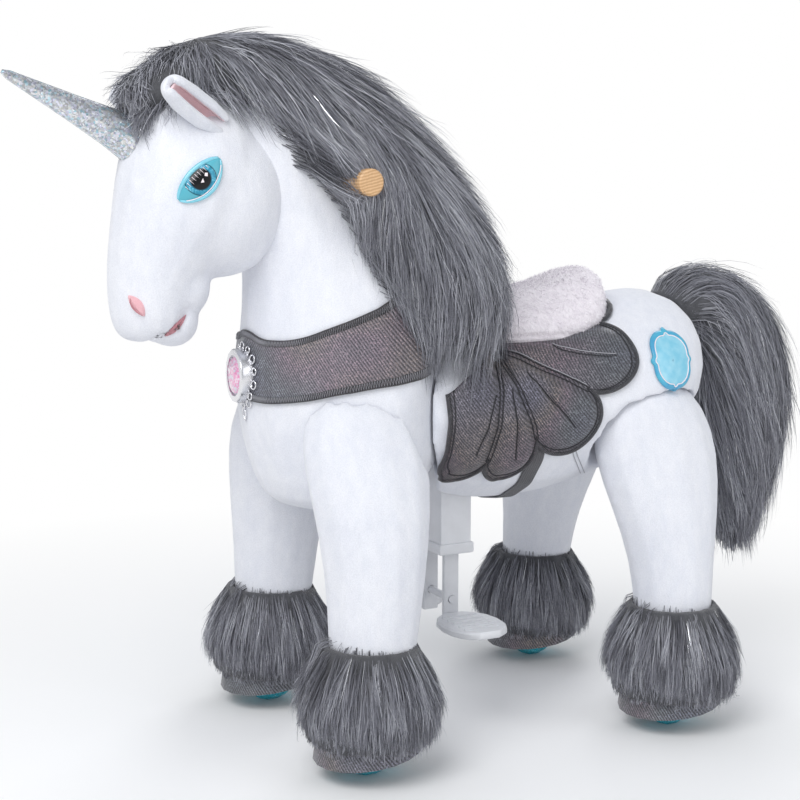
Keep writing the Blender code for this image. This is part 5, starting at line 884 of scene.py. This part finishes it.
# Girth strap: ribbed elastic from wing to wing under the belly
STRAP_Y = WING_ROOT.x + WING_REACH * 0.229
STRAP_WIDTH = 0.022
STRAP_ROWS, STRAP_COLUMNS = 32, 80
BELLY_Z = 0.405


def strap_pair(i, k):
    across = i / STRAP_ROWS
    rib = 0.0011 + 0.0007 * abs(math.sin(across * math.pi * 7))
    turn = math.radians(-96 + 192 * k / STRAP_COLUMNS)
    direction = Vector((math.sin(turn), 0, -math.cos(turn)))
    centre = Vector((0, STRAP_Y + STRAP_WIDTH * (across - 0.5), BELLY_Z))
    place, facing = TRUNK_TREE.ray_cast(centre + direction * 0.4, -direction)[:2]
    return place + facing * (0.0016 + rib), place + facing * 0.0008


strap_grids = grids(range(STRAP_ROWS + 1), range(STRAP_COLUMNS + 1), strap_pair)
STRAP_LENGTH = length_of(strap_grids[0][STRAP_ROWS // 2])
strap = faces_object("girth_elastic", *shell(*strap_grids), STRAP)
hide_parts("girth_strap")
put(strap, *TRUNK_MESH)

# Rump plaque: a plain quatrefoil with a raised white line
PLAQUE_MIDDLE = Vector((MIDDLE_Y + 0.236, 0.482))
PLAQUE_HALF = Vector((0.033, 0.041))


def quatrefoil(turn):
    tip = abs((math.degrees(turn) + 45) % 90 - 45)
    return 0.85 + 0.13 * abs(math.sin(2 * turn)) ** 0.8 + 0.15 * math.exp(-(tip / 6.0) ** 2)


def on_plaque(turn, share):
    reach = quatrefoil(turn) * share
    return drape(PLAQUE_MIDDLE.x + PLAQUE_HALF.x * reach * math.cos(turn),
                 PLAQUE_MIDDLE.y + PLAQUE_HALF.y * reach * math.sin(turn))


PLAQUE_RINGS, PLAQUE_STEPS = 12, 144
PLAQUE_SHARES = [max(0.02, i / PLAQUE_RINGS) for i in range(PLAQUE_RINGS + 1)]


def plaque_pair(share, k):
    place, facing = on_plaque(math.tau * k / PLAQUE_STEPS, share)
    rim = 0.0036 + (0.0010 if share > 0.88 else 0) - (0.0016 if share > 0.98 else 0)
    return place + facing * rim, place + facing * 0.0010


plaque_grids = grids(PLAQUE_SHARES, range(PLAQUE_STEPS), plaque_pair)
plaque = faces_object("plaque_vinyl", *shell(*plaque_grids, closed=True), PLAQUE_PRINT)
plaque_out = [share for share in PLAQUE_SHARES for _ in range(PLAQUE_STEPS)]
plaque.data.attributes.new("out", "FLOAT", "POINT").data.foreach_set("value", plaque_out * 2)
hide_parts("rump_plaque")
put(plaque, *PLAQUE_SLOT)
line = [raised(on_plaque(math.tau * k / PLAQUE_STEPS, 0.82), 0.0038) for k in range(PLAQUE_STEPS)]
threads("plaque_line", [line], 0.0008, LASH, *PLAQUE_SLOT, closed=True)

# Rolled edge of the trunk's socket, which closes the slit beside the chest
SOCKET = 0.1612
mouth = []
for k in range(120):
    turn = math.tau * k / 120
    direction = Vector((math.sin(turn), 0, -math.cos(turn)))
    y = STEER_Y + SOCKET
    for _ in range(6):
        place, facing = TRUNK_TREE.ray_cast(Vector((0, y, 0.43)) + direction * 0.4, -direction)[:2]
        if place is None or abs(place.x) >= SOCKET:
            break
        y = STEER_Y + math.sqrt(SOCKET ** 2 - place.x ** 2)
    if place is not None:
        mouth.append(place - facing * 0.0042)
mouth = [(before + here * 2 + after) / 4
         for before, here, after in zip(mouth[-1:] + mouth, mouth, mouth[1:] + mouth[:1])]
threads("socket_roll", [mouth], 0.0050, WHITE_PLUSH, *TRUNK_PLUSH, sides=12, closed=True)

# Seams of the body
seam_pixels = (((568.5, 438.0), (574.0, 457.0), (581.5, 476.0)),
               ((572.0, 438.0), (577.5, 456.0), (585.0, 474.0)))
body_seams = [pixel_line(TRUNK_TREE, pixels, 0.0006) for pixels in seam_pixels]
body_seams = [line for line in body_seams if len(line) > 2]
for side, sign in SIDES:
    threads(f"body_seam_{side}", body_seams, 0.0006, PALE_THREAD, *TRUNK_PLUSH, sides=5, sign=sign)

# Collar

# Turns from the front, and the heights of the collar's edges there
COLLAR_LOW = ((0, 0.452), (30, 0.449), (60, 0.455), (90, 0.470), (120, 0.478), (145, 0.49), (165, 0.55),
              (180, 0.585))
COLLAR_HIGH = ((0, 0.538), (20, 0.524), (55, 0.525), (105, 0.562), (150, 0.61), (180, 0.64))
COLLAR_COLUMNS, COLLAR_ROWS = 240, 16


def collar_edge(table, turn):
    """The height of an edge of the collar, evened out along it."""
    around = [abs((turn + shift + 180) % 360 - 180) for shift in (-12, -8, -4, 0, 4, 8, 12)]
    return float(np.mean(np.interp(around, *zip(*table))))


def on_collar(turn, share):
    low, high = collar_edge(COLLAR_LOW, turn), collar_edge(COLLAR_HIGH, turn)
    direction = Vector((math.sin(math.radians(turn)), -math.cos(math.radians(turn)), 0))
    start = Vector((0, STEER_Y, low + (high - low) * share)) + direction * 0.4
    return NECK_TREE.ray_cast(start, -direction)[:2]


def collar_lift(turn, share):
    ripple = 0.0007 * math.sin(math.radians(turn) * 5 + 1) * (1 - share)
    return 0.0030 + 0.0016 * (1 - share) ** 3 + ripple


def collar_pair(i, k):
    turn, share = 360 * k / COLLAR_COLUMNS, i / COLLAR_ROWS
    place, facing = on_collar(turn, share)
    lift = collar_lift(turn, share)
    return place + facing * lift, place + facing * (lift - 0.0016)


collar_grids = grids(range(COLLAR_ROWS + 1), range(COLLAR_COLUMNS), collar_pair)
collar = faces_object("collar_cloth", *shell(*collar_grids, closed=True), CLOTH)
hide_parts("collar")
put(collar, *FRONT_MESH)


def round_area(grid):
    """The area of a closed band of points."""
    total = 0
    for low, high in zip(grid, grid[1:]):
        for k in range(len(low)):
            after = (k + 1) % len(low)
            total += ((low[after] - low[k]).cross(high[k] - low[k]).length
                      + (low[after] - high[after]).cross(high[k] - high[after]).length) / 2
    return total


COLLAR_AREA = round_area(collar_grids[0])
half_way = collar_grids[0][COLLAR_ROWS // 2]
COLLAR_ROUND = length_of(half_way + half_way[:1])
ZIGZAGS = 560
overlock, bands = [], []
for edge, way, label in ((0.0, 1, "low"), (1.0, -1, "high")):
    zigzag = []
    for k in range(ZIGZAGS):
        turn = 360 * k / ZIGZAGS
        spot = on_collar(turn, edge + way * (0.004 if k % 2 else 0.085))
        zigzag.append(raised(spot, collar_lift(turn, edge) + 0.0007))
    overlock.append(zigzag)

    def band_pair(step, k):
        turn = 360 * k / COLLAR_COLUMNS
        place, facing = on_collar(turn, edge + way * step)
        return place + facing * (collar_lift(turn, edge) + 0.0003), place + facing * 0.0010

    band = shell(*grids((-0.02, 0.03, 0.09), range(COLLAR_COLUMNS), band_pair), closed=True)
    bands.append(put(faces_object(f"collar_band_{label}", *band, BINDING), *FRONT_MESH))
edging = threads("collar_overlock", overlock, 0.0006, PALE_THREAD, *FRONT_MESH, sides=4, closed=True)

# Brooch: a cut stone in the cast setting, and open scrolls round it
BROOCH_LOW, BROOCH_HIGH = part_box("brooch")
BROOCH_MIDDLE = (BROOCH_LOW + BROOCH_HIGH) / 2
BROOCH_HALF = (BROOCH_HIGH - BROOCH_LOW) / 2
COLLAR_TREE = tree_of(collar)


def on_front(x, z):
    """The place of a scroll on the front of the collar, or of the neck past it."""
    start, ahead = Vector((x, -1, z)), Vector((0, 1, 0))
    spot = COLLAR_TREE.ray_cast(start, ahead)
    return raised(spot if spot[0] else NECK_TREE.ray_cast(start, ahead), 0.0022)


STONE_SIDES = 12
points, faces = [], []
for size, rise in ((0.74, 0.20), (0.62, 0.62), (0.36, 0.92)):
    for k in range(STONE_SIDES):
        turn = math.tau * (k + 0.5 * (size < 0.7)) / STONE_SIDES
        points.append((BROOCH_HALF.x * size * math.cos(turn), BROOCH_LOW.y + 0.004 - 0.007 * rise,
                       BROOCH_MIDDLE.z + BROOCH_HALF.z * size * math.sin(turn)))
for ring in range(2):
    for k in range(STONE_SIDES):
        a, b = ring * STONE_SIDES + k, ring * STONE_SIDES + (k + 1) % STONE_SIDES
        faces += [(a, b, a + STONE_SIDES), (b, b + STONE_SIDES, a + STONE_SIDES)]
faces.append(tuple(range(2 * STONE_SIDES, 3 * STONE_SIDES)))
faces.append(tuple(range(STONE_SIDES)))
put(faces_object("brooch_stone", points, faces, GEM, smooth=False), *TRIM)
SCROLLS = 14
scrolls = []
for k in range(SCROLLS):
    turn = math.tau * (k + 0.5) / SCROLLS
    middle_x = BROOCH_HALF.x * 1.12 * math.cos(turn)
    middle_z = BROOCH_MIDDLE.z + BROOCH_HALF.z * 1.10 * math.sin(turn)
    size = 0.0052 + 0.0012 * (k % 2)
    curl = []
    for s in range(26):
        spin = turn + math.pi + s / 25 * math.tau * 1.2
        wide = size * (1 - 0.45 * s / 25)
        curl.append(on_front(middle_x + wide * math.cos(spin), middle_z + wide * math.sin(spin)))
    scrolls.append(curl)
DROP = ((0, -1.18), (0.16, -1.36), (0.10, -1.56), (0, -1.72), (-0.10, -1.56), (-0.16, -1.36), (0, -1.18))
scrolls.append([on_front(BROOCH_HALF.x * p.x, BROOCH_MIDDLE.z + BROOCH_HALF.z * p.y)
                for p in dense([Vector((*q, 0)) for q in DROP], 30)])
threads("brooch_scrolls", scrolls, 0.0011, SILVER, *TRIM)

# Saddle


CUSHION_FRAMES = 20
CUSHION_GIVE = 0.006
WELT_HEIGHT, WELT_WIDTH = 0.016, 0.0028


def cushion():
    """The stuffed saddle: a cloth skin over the CAD's form, blown up from within and held near it."""
    piece = skin("saddle_plush", "saddle_cushion", SEAT_PLUSH, *SADDLE_SLOT, rounds=3, fill=0.7,
                 subdivide=False)
    rest = coords(piece.data)
    cloth = modifier(piece, "CLOTH")
    cloth.settings.quality = 6
    cloth.settings.mass = 0.25
    cloth.settings.tension_stiffness = cloth.settings.compression_stiffness = 12
    cloth.settings.bending_stiffness = 0.4
    cloth.settings.use_pressure = True
    cloth.settings.uniform_pressure_force = 4
    cloth.settings.effector_weights.gravity = 0
    cloth.point_cache.frame_end = CUSHION_FRAMES
    for frame_number in range(1, CUSHION_FRAMES + 1):
        bpy.context.scene.frame_set(frame_number)
    settle(piece)
    bpy.context.scene.frame_set(1)
    move = coords(piece.data) - rest
    size = np.linalg.norm(move, axis=1, keepdims=True)
    made = rest + move * np.minimum(1, CUSHION_GIVE / np.maximum(size, 1e-9))
    piece.data.vertices.foreach_set("co", made.astype(np.float32).reshape(-1))
    modifier(piece, "SUBSURF", levels=1, render_levels=1)
    return settle(piece)


SADDLE = cushion()
SADDLE_LOW = coords(SADDLE.data)[:, 2].min()
for vertex in SADDLE.data.vertices:
    away = (vertex.co.z - SADDLE_LOW - WELT_HEIGHT) / WELT_WIDTH
    if abs(away) < 3 and abs(vertex.normal.z) < 0.75:
        vertex.co -= Vector((vertex.normal.x, vertex.normal.y, 0)) * WELT_WIDTH * math.exp(-away * away)
SADDLE_TREE = tree_of(SADDLE)

# Long fur


def sample(piece, count, keep=None):
    """Random points of a mesh, even over its area, with the normals there."""
    corners = coords(piece.data)[triangles_of(piece.data)]
    cross = np.cross(corners[:, 1] - corners[:, 0], corners[:, 2] - corners[:, 0])
    area = np.linalg.norm(cross, axis=1)
    chosen = RNG.choice(len(area), count, p=area / area.sum())
    u, v = RNG.random(count), RNG.random(count)
    flip = u + v > 1
    u[flip], v[flip] = 1 - u[flip], 1 - v[flip]
    a, b, c = corners[chosen, 0], corners[chosen, 1], corners[chosen, 2]
    points = a + (b - a) * u[:, None] + (c - a) * v[:, None]
    normals = cross[chosen] / np.maximum(area[chosen], 1e-12)[:, None]
    if keep is not None:
        held = keep(points, normals)
        points, normals = points[held], normals[held]
    return points, normals


# Fur lies on its form down to undersides that face this far down, and keeps this clear of other forms
LEVEL_SIDE = -0.5
CLEAR = 0.005


def grow(root, normal, flow, length, steps, tree, lift, keep_off):
    """One guide: it runs close over its form, hangs past the end, and goes round what it meets."""
    at = Vector(root) + Vector(normal) * lift[0]
    path = [at]
    for step in range(1, steps + 1):
        share = step / steps
        want = lift[0] + (lift[1] - lift[0]) * share
        near, n, _, reach = tree.find_nearest(at)
        go = flow(at, n, share)
        if n.z > LEVEL_SIDE - 0.05 and reach < want + 0.03:
            go = go - n * go.dot(n)
        at = at + go.normalized() * (length / steps)
        near, n, _, reach = tree.find_nearest(at)
        if (at - near).dot(n) < want and reach < 0.08:
            at = near + n * want
        elif n.z > LEVEL_SIDE and reach < want + 0.03:
            at = at.lerp(near + n * want, 0.55)
        for other in keep_off:
            near, n, _, reach = other.find_nearest(at)
            if (at - near).dot(n) < CLEAR and reach < 0.07:
                at = near + n * CLEAR
        path.append(at)
    return path


def coat(name, body, slot, roots, guides, children, flow, length, steps, tree, lift, keep_off=(),
         width=0.0009, clump=0.75, sway=0.004, tinsel=0.012, material=None, limit=None, floor=None,
         depth=None, ragged=0.004, bulge=None):
    """Locks of long pile: guides grown over a form, strands that gather to them, and bright tinsel."""
    points, normals = roots
    lead = RNG.choice(len(points), guides, replace=False)
    spans = RNG.uniform(length[0], length[1], guides)
    if limit:
        spans = np.minimum(spans, [limit(points[i]) for i in lead])
    lifts = RNG.uniform(0.6, 1.4, guides)
    if depth:
        lifts *= [depth(points[i]) for i in lead]
    paths = np.array([[tuple(q) for q in grow(points[i], normals[i], flow, spans[k], steps, tree,
                                              (lift[0], lift[1] * lifts[k]), keep_off)]
                      for k, i in enumerate(lead)])
    finder = kdtree.KDTree(guides)
    for k in range(guides):
        finder.insert(paths[k, 0], k)
    finder.balance()
    locks = RNG.random(guides)

    def strand_set(label, count, thick, share_clump, shine):
        pick = RNG.choice(len(points), count, replace=count > len(points))
        near = np.array([[hit[1] for hit in finder.find_n(points[i], 3)] for i in pick])
        gap = np.array([[hit[2] for hit in finder.find_n(points[i], 3)] for i in pick]) + 0.002
        weight = 1 / gap
        weight /= weight.sum(1, keepdims=True)
        relative = paths - paths[:, :1]
        along = np.linspace(0, 1, steps + 1)
        reach = RNG.uniform(0.72, 1.06, count)[:, None, None]
        made = points[pick][:, None, :] + (relative[near] * weight[:, :, None, None]).sum(1) * reach
        leader = paths[near[:, 0]]
        scatter = RNG.normal(0, 0.0030, (count, 1, 3)) * along[None, :, None]
        pull = (share_clump * along ** 1.3)[None, :, None] * RNG.uniform(0.45, 1.0, (count, 1, 1))
        made = made * (1 - pull) + (leader + scatter) * pull
        phase = RNG.uniform(0, math.tau, (count, 1, 3))
        wave = np.sin(along[None, :, None] * RNG.uniform(1.5, 4.5, (count, 1, 1)) + phase) - np.sin(phase)
        made = made + wave * sway * RNG.uniform(0.3, 1.0, (count, 1, 1)) * along[None, :, None]
        if bulge:
            made[:, :, 0] += bulge(made) * np.minimum(1, along * 2.2)[None, :]
        if floor:
            drop = made[:, 0, 2] - made[:, :, 2].min(1)
            room = made[:, 0, 2] - floor(points[pick]) + RNG.normal(0, ragged, count)
            shorter = np.clip(room / np.maximum(drop, 1e-4), 0.12, 1)[:, None, None]
            made = made[:, :1] + (made - made[:, :1]) * shorter
        facing = normals[pick] + RNG.normal(0, 0.55, (count, 3))
        step_dir = np.gradient(made, axis=1)
        across = np.cross(step_dir, facing[:, None, :])
        across /= np.maximum(np.linalg.norm(across, axis=2, keepdims=True), 1e-9)
        taper = (1 - 0.8 * along ** 2.2)[None, :, None] * RNG.uniform(0.7, 1.3, (count, 1, 1))
        half = across * thick / 2 * taper
        rows = np.stack([made - half, made + half], 2)[:, :-1].reshape(count, -1, 3)
        verts = np.concatenate([rows, made[:, -1:]], 1)
        per = 2 * steps + 1
        base = (np.arange(count) * per)[:, None]
        quads = np.array([[2 * k, 2 * k + 1, 2 * k + 3, 2 * k + 2] for k in range(steps - 1)])
        last = np.array([2 * steps - 2, 2 * steps - 1, 2 * steps])
        strips = (base[:, :, None] + quads[None]).reshape(count, -1)
        corner = np.concatenate([strips, base + last[None]], 1).reshape(-1)
        sizes = np.tile(np.array([4] * (steps - 1) + [3]), count)
        mesh = bpy.data.meshes.new(label)
        mesh.vertices.add(count * per)
        mesh.vertices.foreach_set("co", verts.reshape(-1).astype(np.float32))
        mesh.loops.add(len(corner))
        mesh.loops.foreach_set("vertex_index", corner.astype(np.int32))
        mesh.polygons.add(len(sizes))
        mesh.polygons.foreach_set("loop_start", (np.cumsum(sizes) - sizes).astype(np.int32))
        mesh.update(calc_edges=True)
        # Each lock and strand gets its own tone; on the grey fur this wide spread paints the shade
        # between locks and the highlights on them, along with their own greys.
        tone = np.clip(0.5 + 0.62 * (locks[near[:, 0]] - 0.5) + RNG.normal(0, 0.16, count), 0, 1)
        rise = np.tile(np.repeat(along, 2)[:per], count)
        for key, values in (("shade", np.repeat(tone, per)), ("along", rise)):
            field = mesh.attributes.new(key, "FLOAT", "POINT")
            field.data.foreach_set("value", values.astype(np.float32))
        return put(new_object(label, mesh, shine), body, slot)

    strand_set(name, children, width, clump, material or FUR)
    if tinsel:
        strand_set(name + "_tinsel", max(8, int(children * tinsel)), width * 0.55, clump * 0.3, TINSEL)


def solid_tree(node):
    return tree_of(NODES[node])


# The mane: a forelock that falls forward over the brow, and locks that fall back down the neck
MANE_BASE = skin("mane_backing", "mane", UNDER_FUR, *FRONT_FUR, voxel=0.006, rounds=4)
MANE_TREE = solid_tree("mane")
BROW_Y = MIDDLE_Y - 0.373
# Heights, and how far back the mane falls there
MANE_FALL = ((0.52, 0.60, 0.68, 0.76, 0.86), (-0.12, 0.06, 0.40, 0.62, 0.72))
# Distances behind the brow, and the longest hair there: short round the ears, long down the neck
MANE_LENGTHS = ((-0.08, -0.03, 0.03, 0.08), (0.034, 0.050, 0.085, 0.17))
# Places along the toy, and the height that the mane ends at there
MANE_ENDS = ((-0.30, -0.12, -0.06, 0.02), (0.50, 0.47, 0.445, 0.48))
# Heights, and the front edge of the mane on the neck there
MANE_FRONT = ((0.50, 0.56, 0.61, 0.66, 0.70, 0.73, 0.76, 0.80, 0.85),
              (-0.115, -0.170, -0.190, -0.212, -0.238, -0.268, -0.292, -0.302, -0.306))


def mane_flow(at, n, share):
    side = 1 if at.x >= 0 else -1
    out = max(0.0, 1 - abs(at.x) / 0.07) * 0.9
    if at.y < BROW_Y:
        ahead = min(1.0, (BROW_Y - at.y) / 0.05)
        return Vector((side * (0.35 + 0.3 * share), 0.1 - 0.75 * ahead * (1 - 0.6 * share), -0.8))
    return Vector((side * out, float(np.interp(at.z, *MANE_FALL)), -0.95))


def mane_limit(root):
    return float(np.interp(root[1] - BROW_Y, *MANE_LENGTHS))


def mane_depth(root):
    """Fuller beside the handle, which the locks hide but for its end."""
    along, up = (root[1] - MIDDLE_Y + 0.215) / 0.05, (root[2] - 0.745) / 0.06
    return 1 + 2.6 * math.exp(-along ** 2 - up ** 2)


def beside_handle(made, ahead, z, wide, high):
    """1 for points beside the handle's shaft, and less the further they are from it."""
    return np.exp(-((made[:, :, 1] - STEER_Y + ahead) / wide) ** 2 - ((made[:, :, 2] - z) / high) ** 2)


def mane_bulge(made):
    """Locks stand out round the handle, so that only its end shows."""
    above = np.clip((made[:, :1, 2] - 0.690) / 0.045, 0.12, 1)
    behind = np.clip((made[:, :1, 1] - STEER_Y + 0.060) / 0.035, 0.25, 1)
    room = np.maximum(0, 0.172 - np.abs(made[:, :, 0]))
    near = beside_handle(made, 0, 0.715, 0.070, 0.075)
    return np.sign(made[:, :, 0]) * room * 0.85 * near * above * behind


def mane_floor(roots):
    return np.interp(roots[:, 1] - MIDDLE_Y, *MANE_ENDS)


def mane_roots(points, normals):
    return (normals[:, 2] > -0.5) & (points[:, 2] > 0.585)


def neck_band(points, normals):
    """The strip of the neck that the mane hangs over, in front of its backing."""
    edge = MIDDLE_Y + np.interp(points[:, 2], *MANE_FRONT)
    return (points[:, 1] > edge) & (points[:, 2] > 0.56) & (points[:, 2] < 0.80) & (normals[:, 2] > -0.4)


def joined(*sets):
    return np.concatenate([s[0] for s in sets]), np.concatenate([s[1] for s in sets])


def on_side(roots, sign):
    """The roots on one side of the toy's middle."""
    chosen = roots[0][:, 0] * sign >= 0
    return roots[0][chosen], roots[1][chosen]


HORN_TREE = solid_tree("horn")
MANE_ROOTS = joined(sample(MANE_BASE, 26000, mane_roots),
                    sample(NODES["neck_and_chest"], 26000, neck_band))
for side, sign in SIDES:
    coat(f"mane_{side}", *FRONT_FUR, on_side(MANE_ROOTS, sign), guides=1000, children=15200,
         flow=mane_flow, length=(0.09, 0.18), steps=7, tree=MANE_TREE, lift=(-0.001, 0.009),
         keep_off=(NECK_TREE, HEAD_TREE, TRUNK_TREE, SADDLE_TREE, WING_TREE, HORN_TREE, *EAR_TREES),
         sway=0.009, tinsel=0.025, limit=mane_limit, floor=mane_floor, depth=mane_depth, ragged=0.012,
         bulge=mane_bulge)

# The tail: locks that arch off its root and hang
TAIL_BASE = skin("tail_backing", "tail", UNDER_FUR, *TRUNK_FUR, rounds=4)


def tail_flow(at, n, share):
    rise = min(1.0, max(0.0, (at.y - MIDDLE_Y - 0.322) / 0.13))
    up = 0.55 - 1.6 * rise - 0.5 * share
    return Vector((at.x * 3.0, 0.75 * (1 - rise) + 0.12 * rise, up if at.z > 0.47 else -1.0))


def tail_floor(roots):
    return np.interp(roots[:, 1] - MIDDLE_Y, (0.42, 0.52), (0.215, 0.180))


coat("tail_fur", *TRUNK_FUR, sample(TAIL_BASE, 20000), guides=700, children=13000, flow=tail_flow,
     length=(0.09, 0.18), steps=7, tree=solid_tree("tail"), lift=(-0.001, 0.012), keep_off=(TRUNK_TREE,),
     sway=0.009, tinsel=0.02, floor=tail_floor, ragged=0.020)

# The cuffs: skirts of fur that spread over the hooves and end above their woven toes
for end, body in (("front", "front_end"), ("hind", "hind_legs")):
    for side in ("left", "right"):
        node = f"cuff_{end}_{side}"
        low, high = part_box(node)
        middle = (low + high) / 2
        backing = skin(f"{node}_backing", node, UNDER_FUR, body, "grey_fur", voxel=0.004, rounds=3)

        def skirt(at, n, share):
            out = Vector((at.x - middle.x, at.y - middle.y, 0))
            return out.normalized() * (0.42 - 0.50 * share) + Vector((0, 0, -1))

        def outside(points, normals):
            outward = points[:, :2] - np.array(middle)[:2]
            return (normals[:, :2] * outward).sum(1) > 0

        def hem(roots):
            ahead = np.clip((middle.y - roots[:, 1]) / 0.07, 0, 1)
            return low.z + 0.001 + 0.017 * ahead

        def top(points, normals):
            """The band of the leg over the cuff that its fur starts from, higher in front."""
            ahead = np.clip((middle.y - points[:, 1]) / 0.06, -0.3, 1)
            return (points[:, 2] > high.z - 0.012) & (points[:, 2] < high.z + 0.002 + 0.010 * ahead)

        leg = next(piece for piece in LIMBS if piece.name == f"{end}_leg_plush_{side}")
        roots = joined(sample(backing, 12000, outside), sample(leg, 16000, top))
        coat(f"{node}_fur", body, "grey_fur", roots, guides=620, children=9500, flow=skirt,
             length=(0.045, 0.080), steps=5, tree=solid_tree(node), lift=(-0.001, 0.010), width=0.0007,
             clump=0.6, floor=hem, ragged=0.006)

# Locks that fall over the handle, so that little more than its end is in sight


def lock_bulge(made):
    room = np.maximum(0, 0.176 - np.abs(made[:, :, 0])) * RNG.uniform(0.25, 0.95, (len(made), 1))
    return np.sign(made[:, :, 0]) * room * beside_handle(made, 0.012, 0.704, 0.062, 0.072)


def lock_roots(points, normals):
    ahead = points[:, 1] - STEER_Y
    beside = (abs(points[:, 0]) > 0.03) & (ahead > -0.060) & (ahead < 0.010)
    return beside & (points[:, 2] > 0.732) & (points[:, 2] < 0.80)


LOCK_ROOTS = joined(sample(MANE_BASE, 40000, lock_roots),
                    sample(NODES["neck_and_chest"], 60000, lock_roots))
for side, sign in SIDES:
    coat(f"mane_lock_{side}", *FRONT_FUR, on_side(LOCK_ROOTS, sign), guides=40, children=4800,
         flow=mane_flow, length=(0.10, 0.17), steps=9, tree=MANE_TREE, lift=(-0.001, 0.012),
         keep_off=(NECK_TREE, HEAD_TREE), clump=0.5, sway=0.008, tinsel=0, bulge=lock_bulge)

# Fuzz of the saddle's long plush


def fuzz_flow(at, n, share):
    return n + Vector((0.25, 0.1, -0.35))


FUZZ_ROOTS = sample(SADDLE, 24000, lambda points, normals: points[:, 2] > SADDLE_LOW + 0.010)
coat("saddle_fuzz", *SADDLE_SLOT, FUZZ_ROOTS, guides=900, children=16000, flow=fuzz_flow,
     length=(0.0025, 0.0045), steps=2, tree=SADDLE_TREE, lift=(-0.0005, 0.0022), width=0.0007, clump=0.3,
     sway=0.0008, tinsel=0, material=SEAT_FUZZ)

bpy.context.view_layer.update()
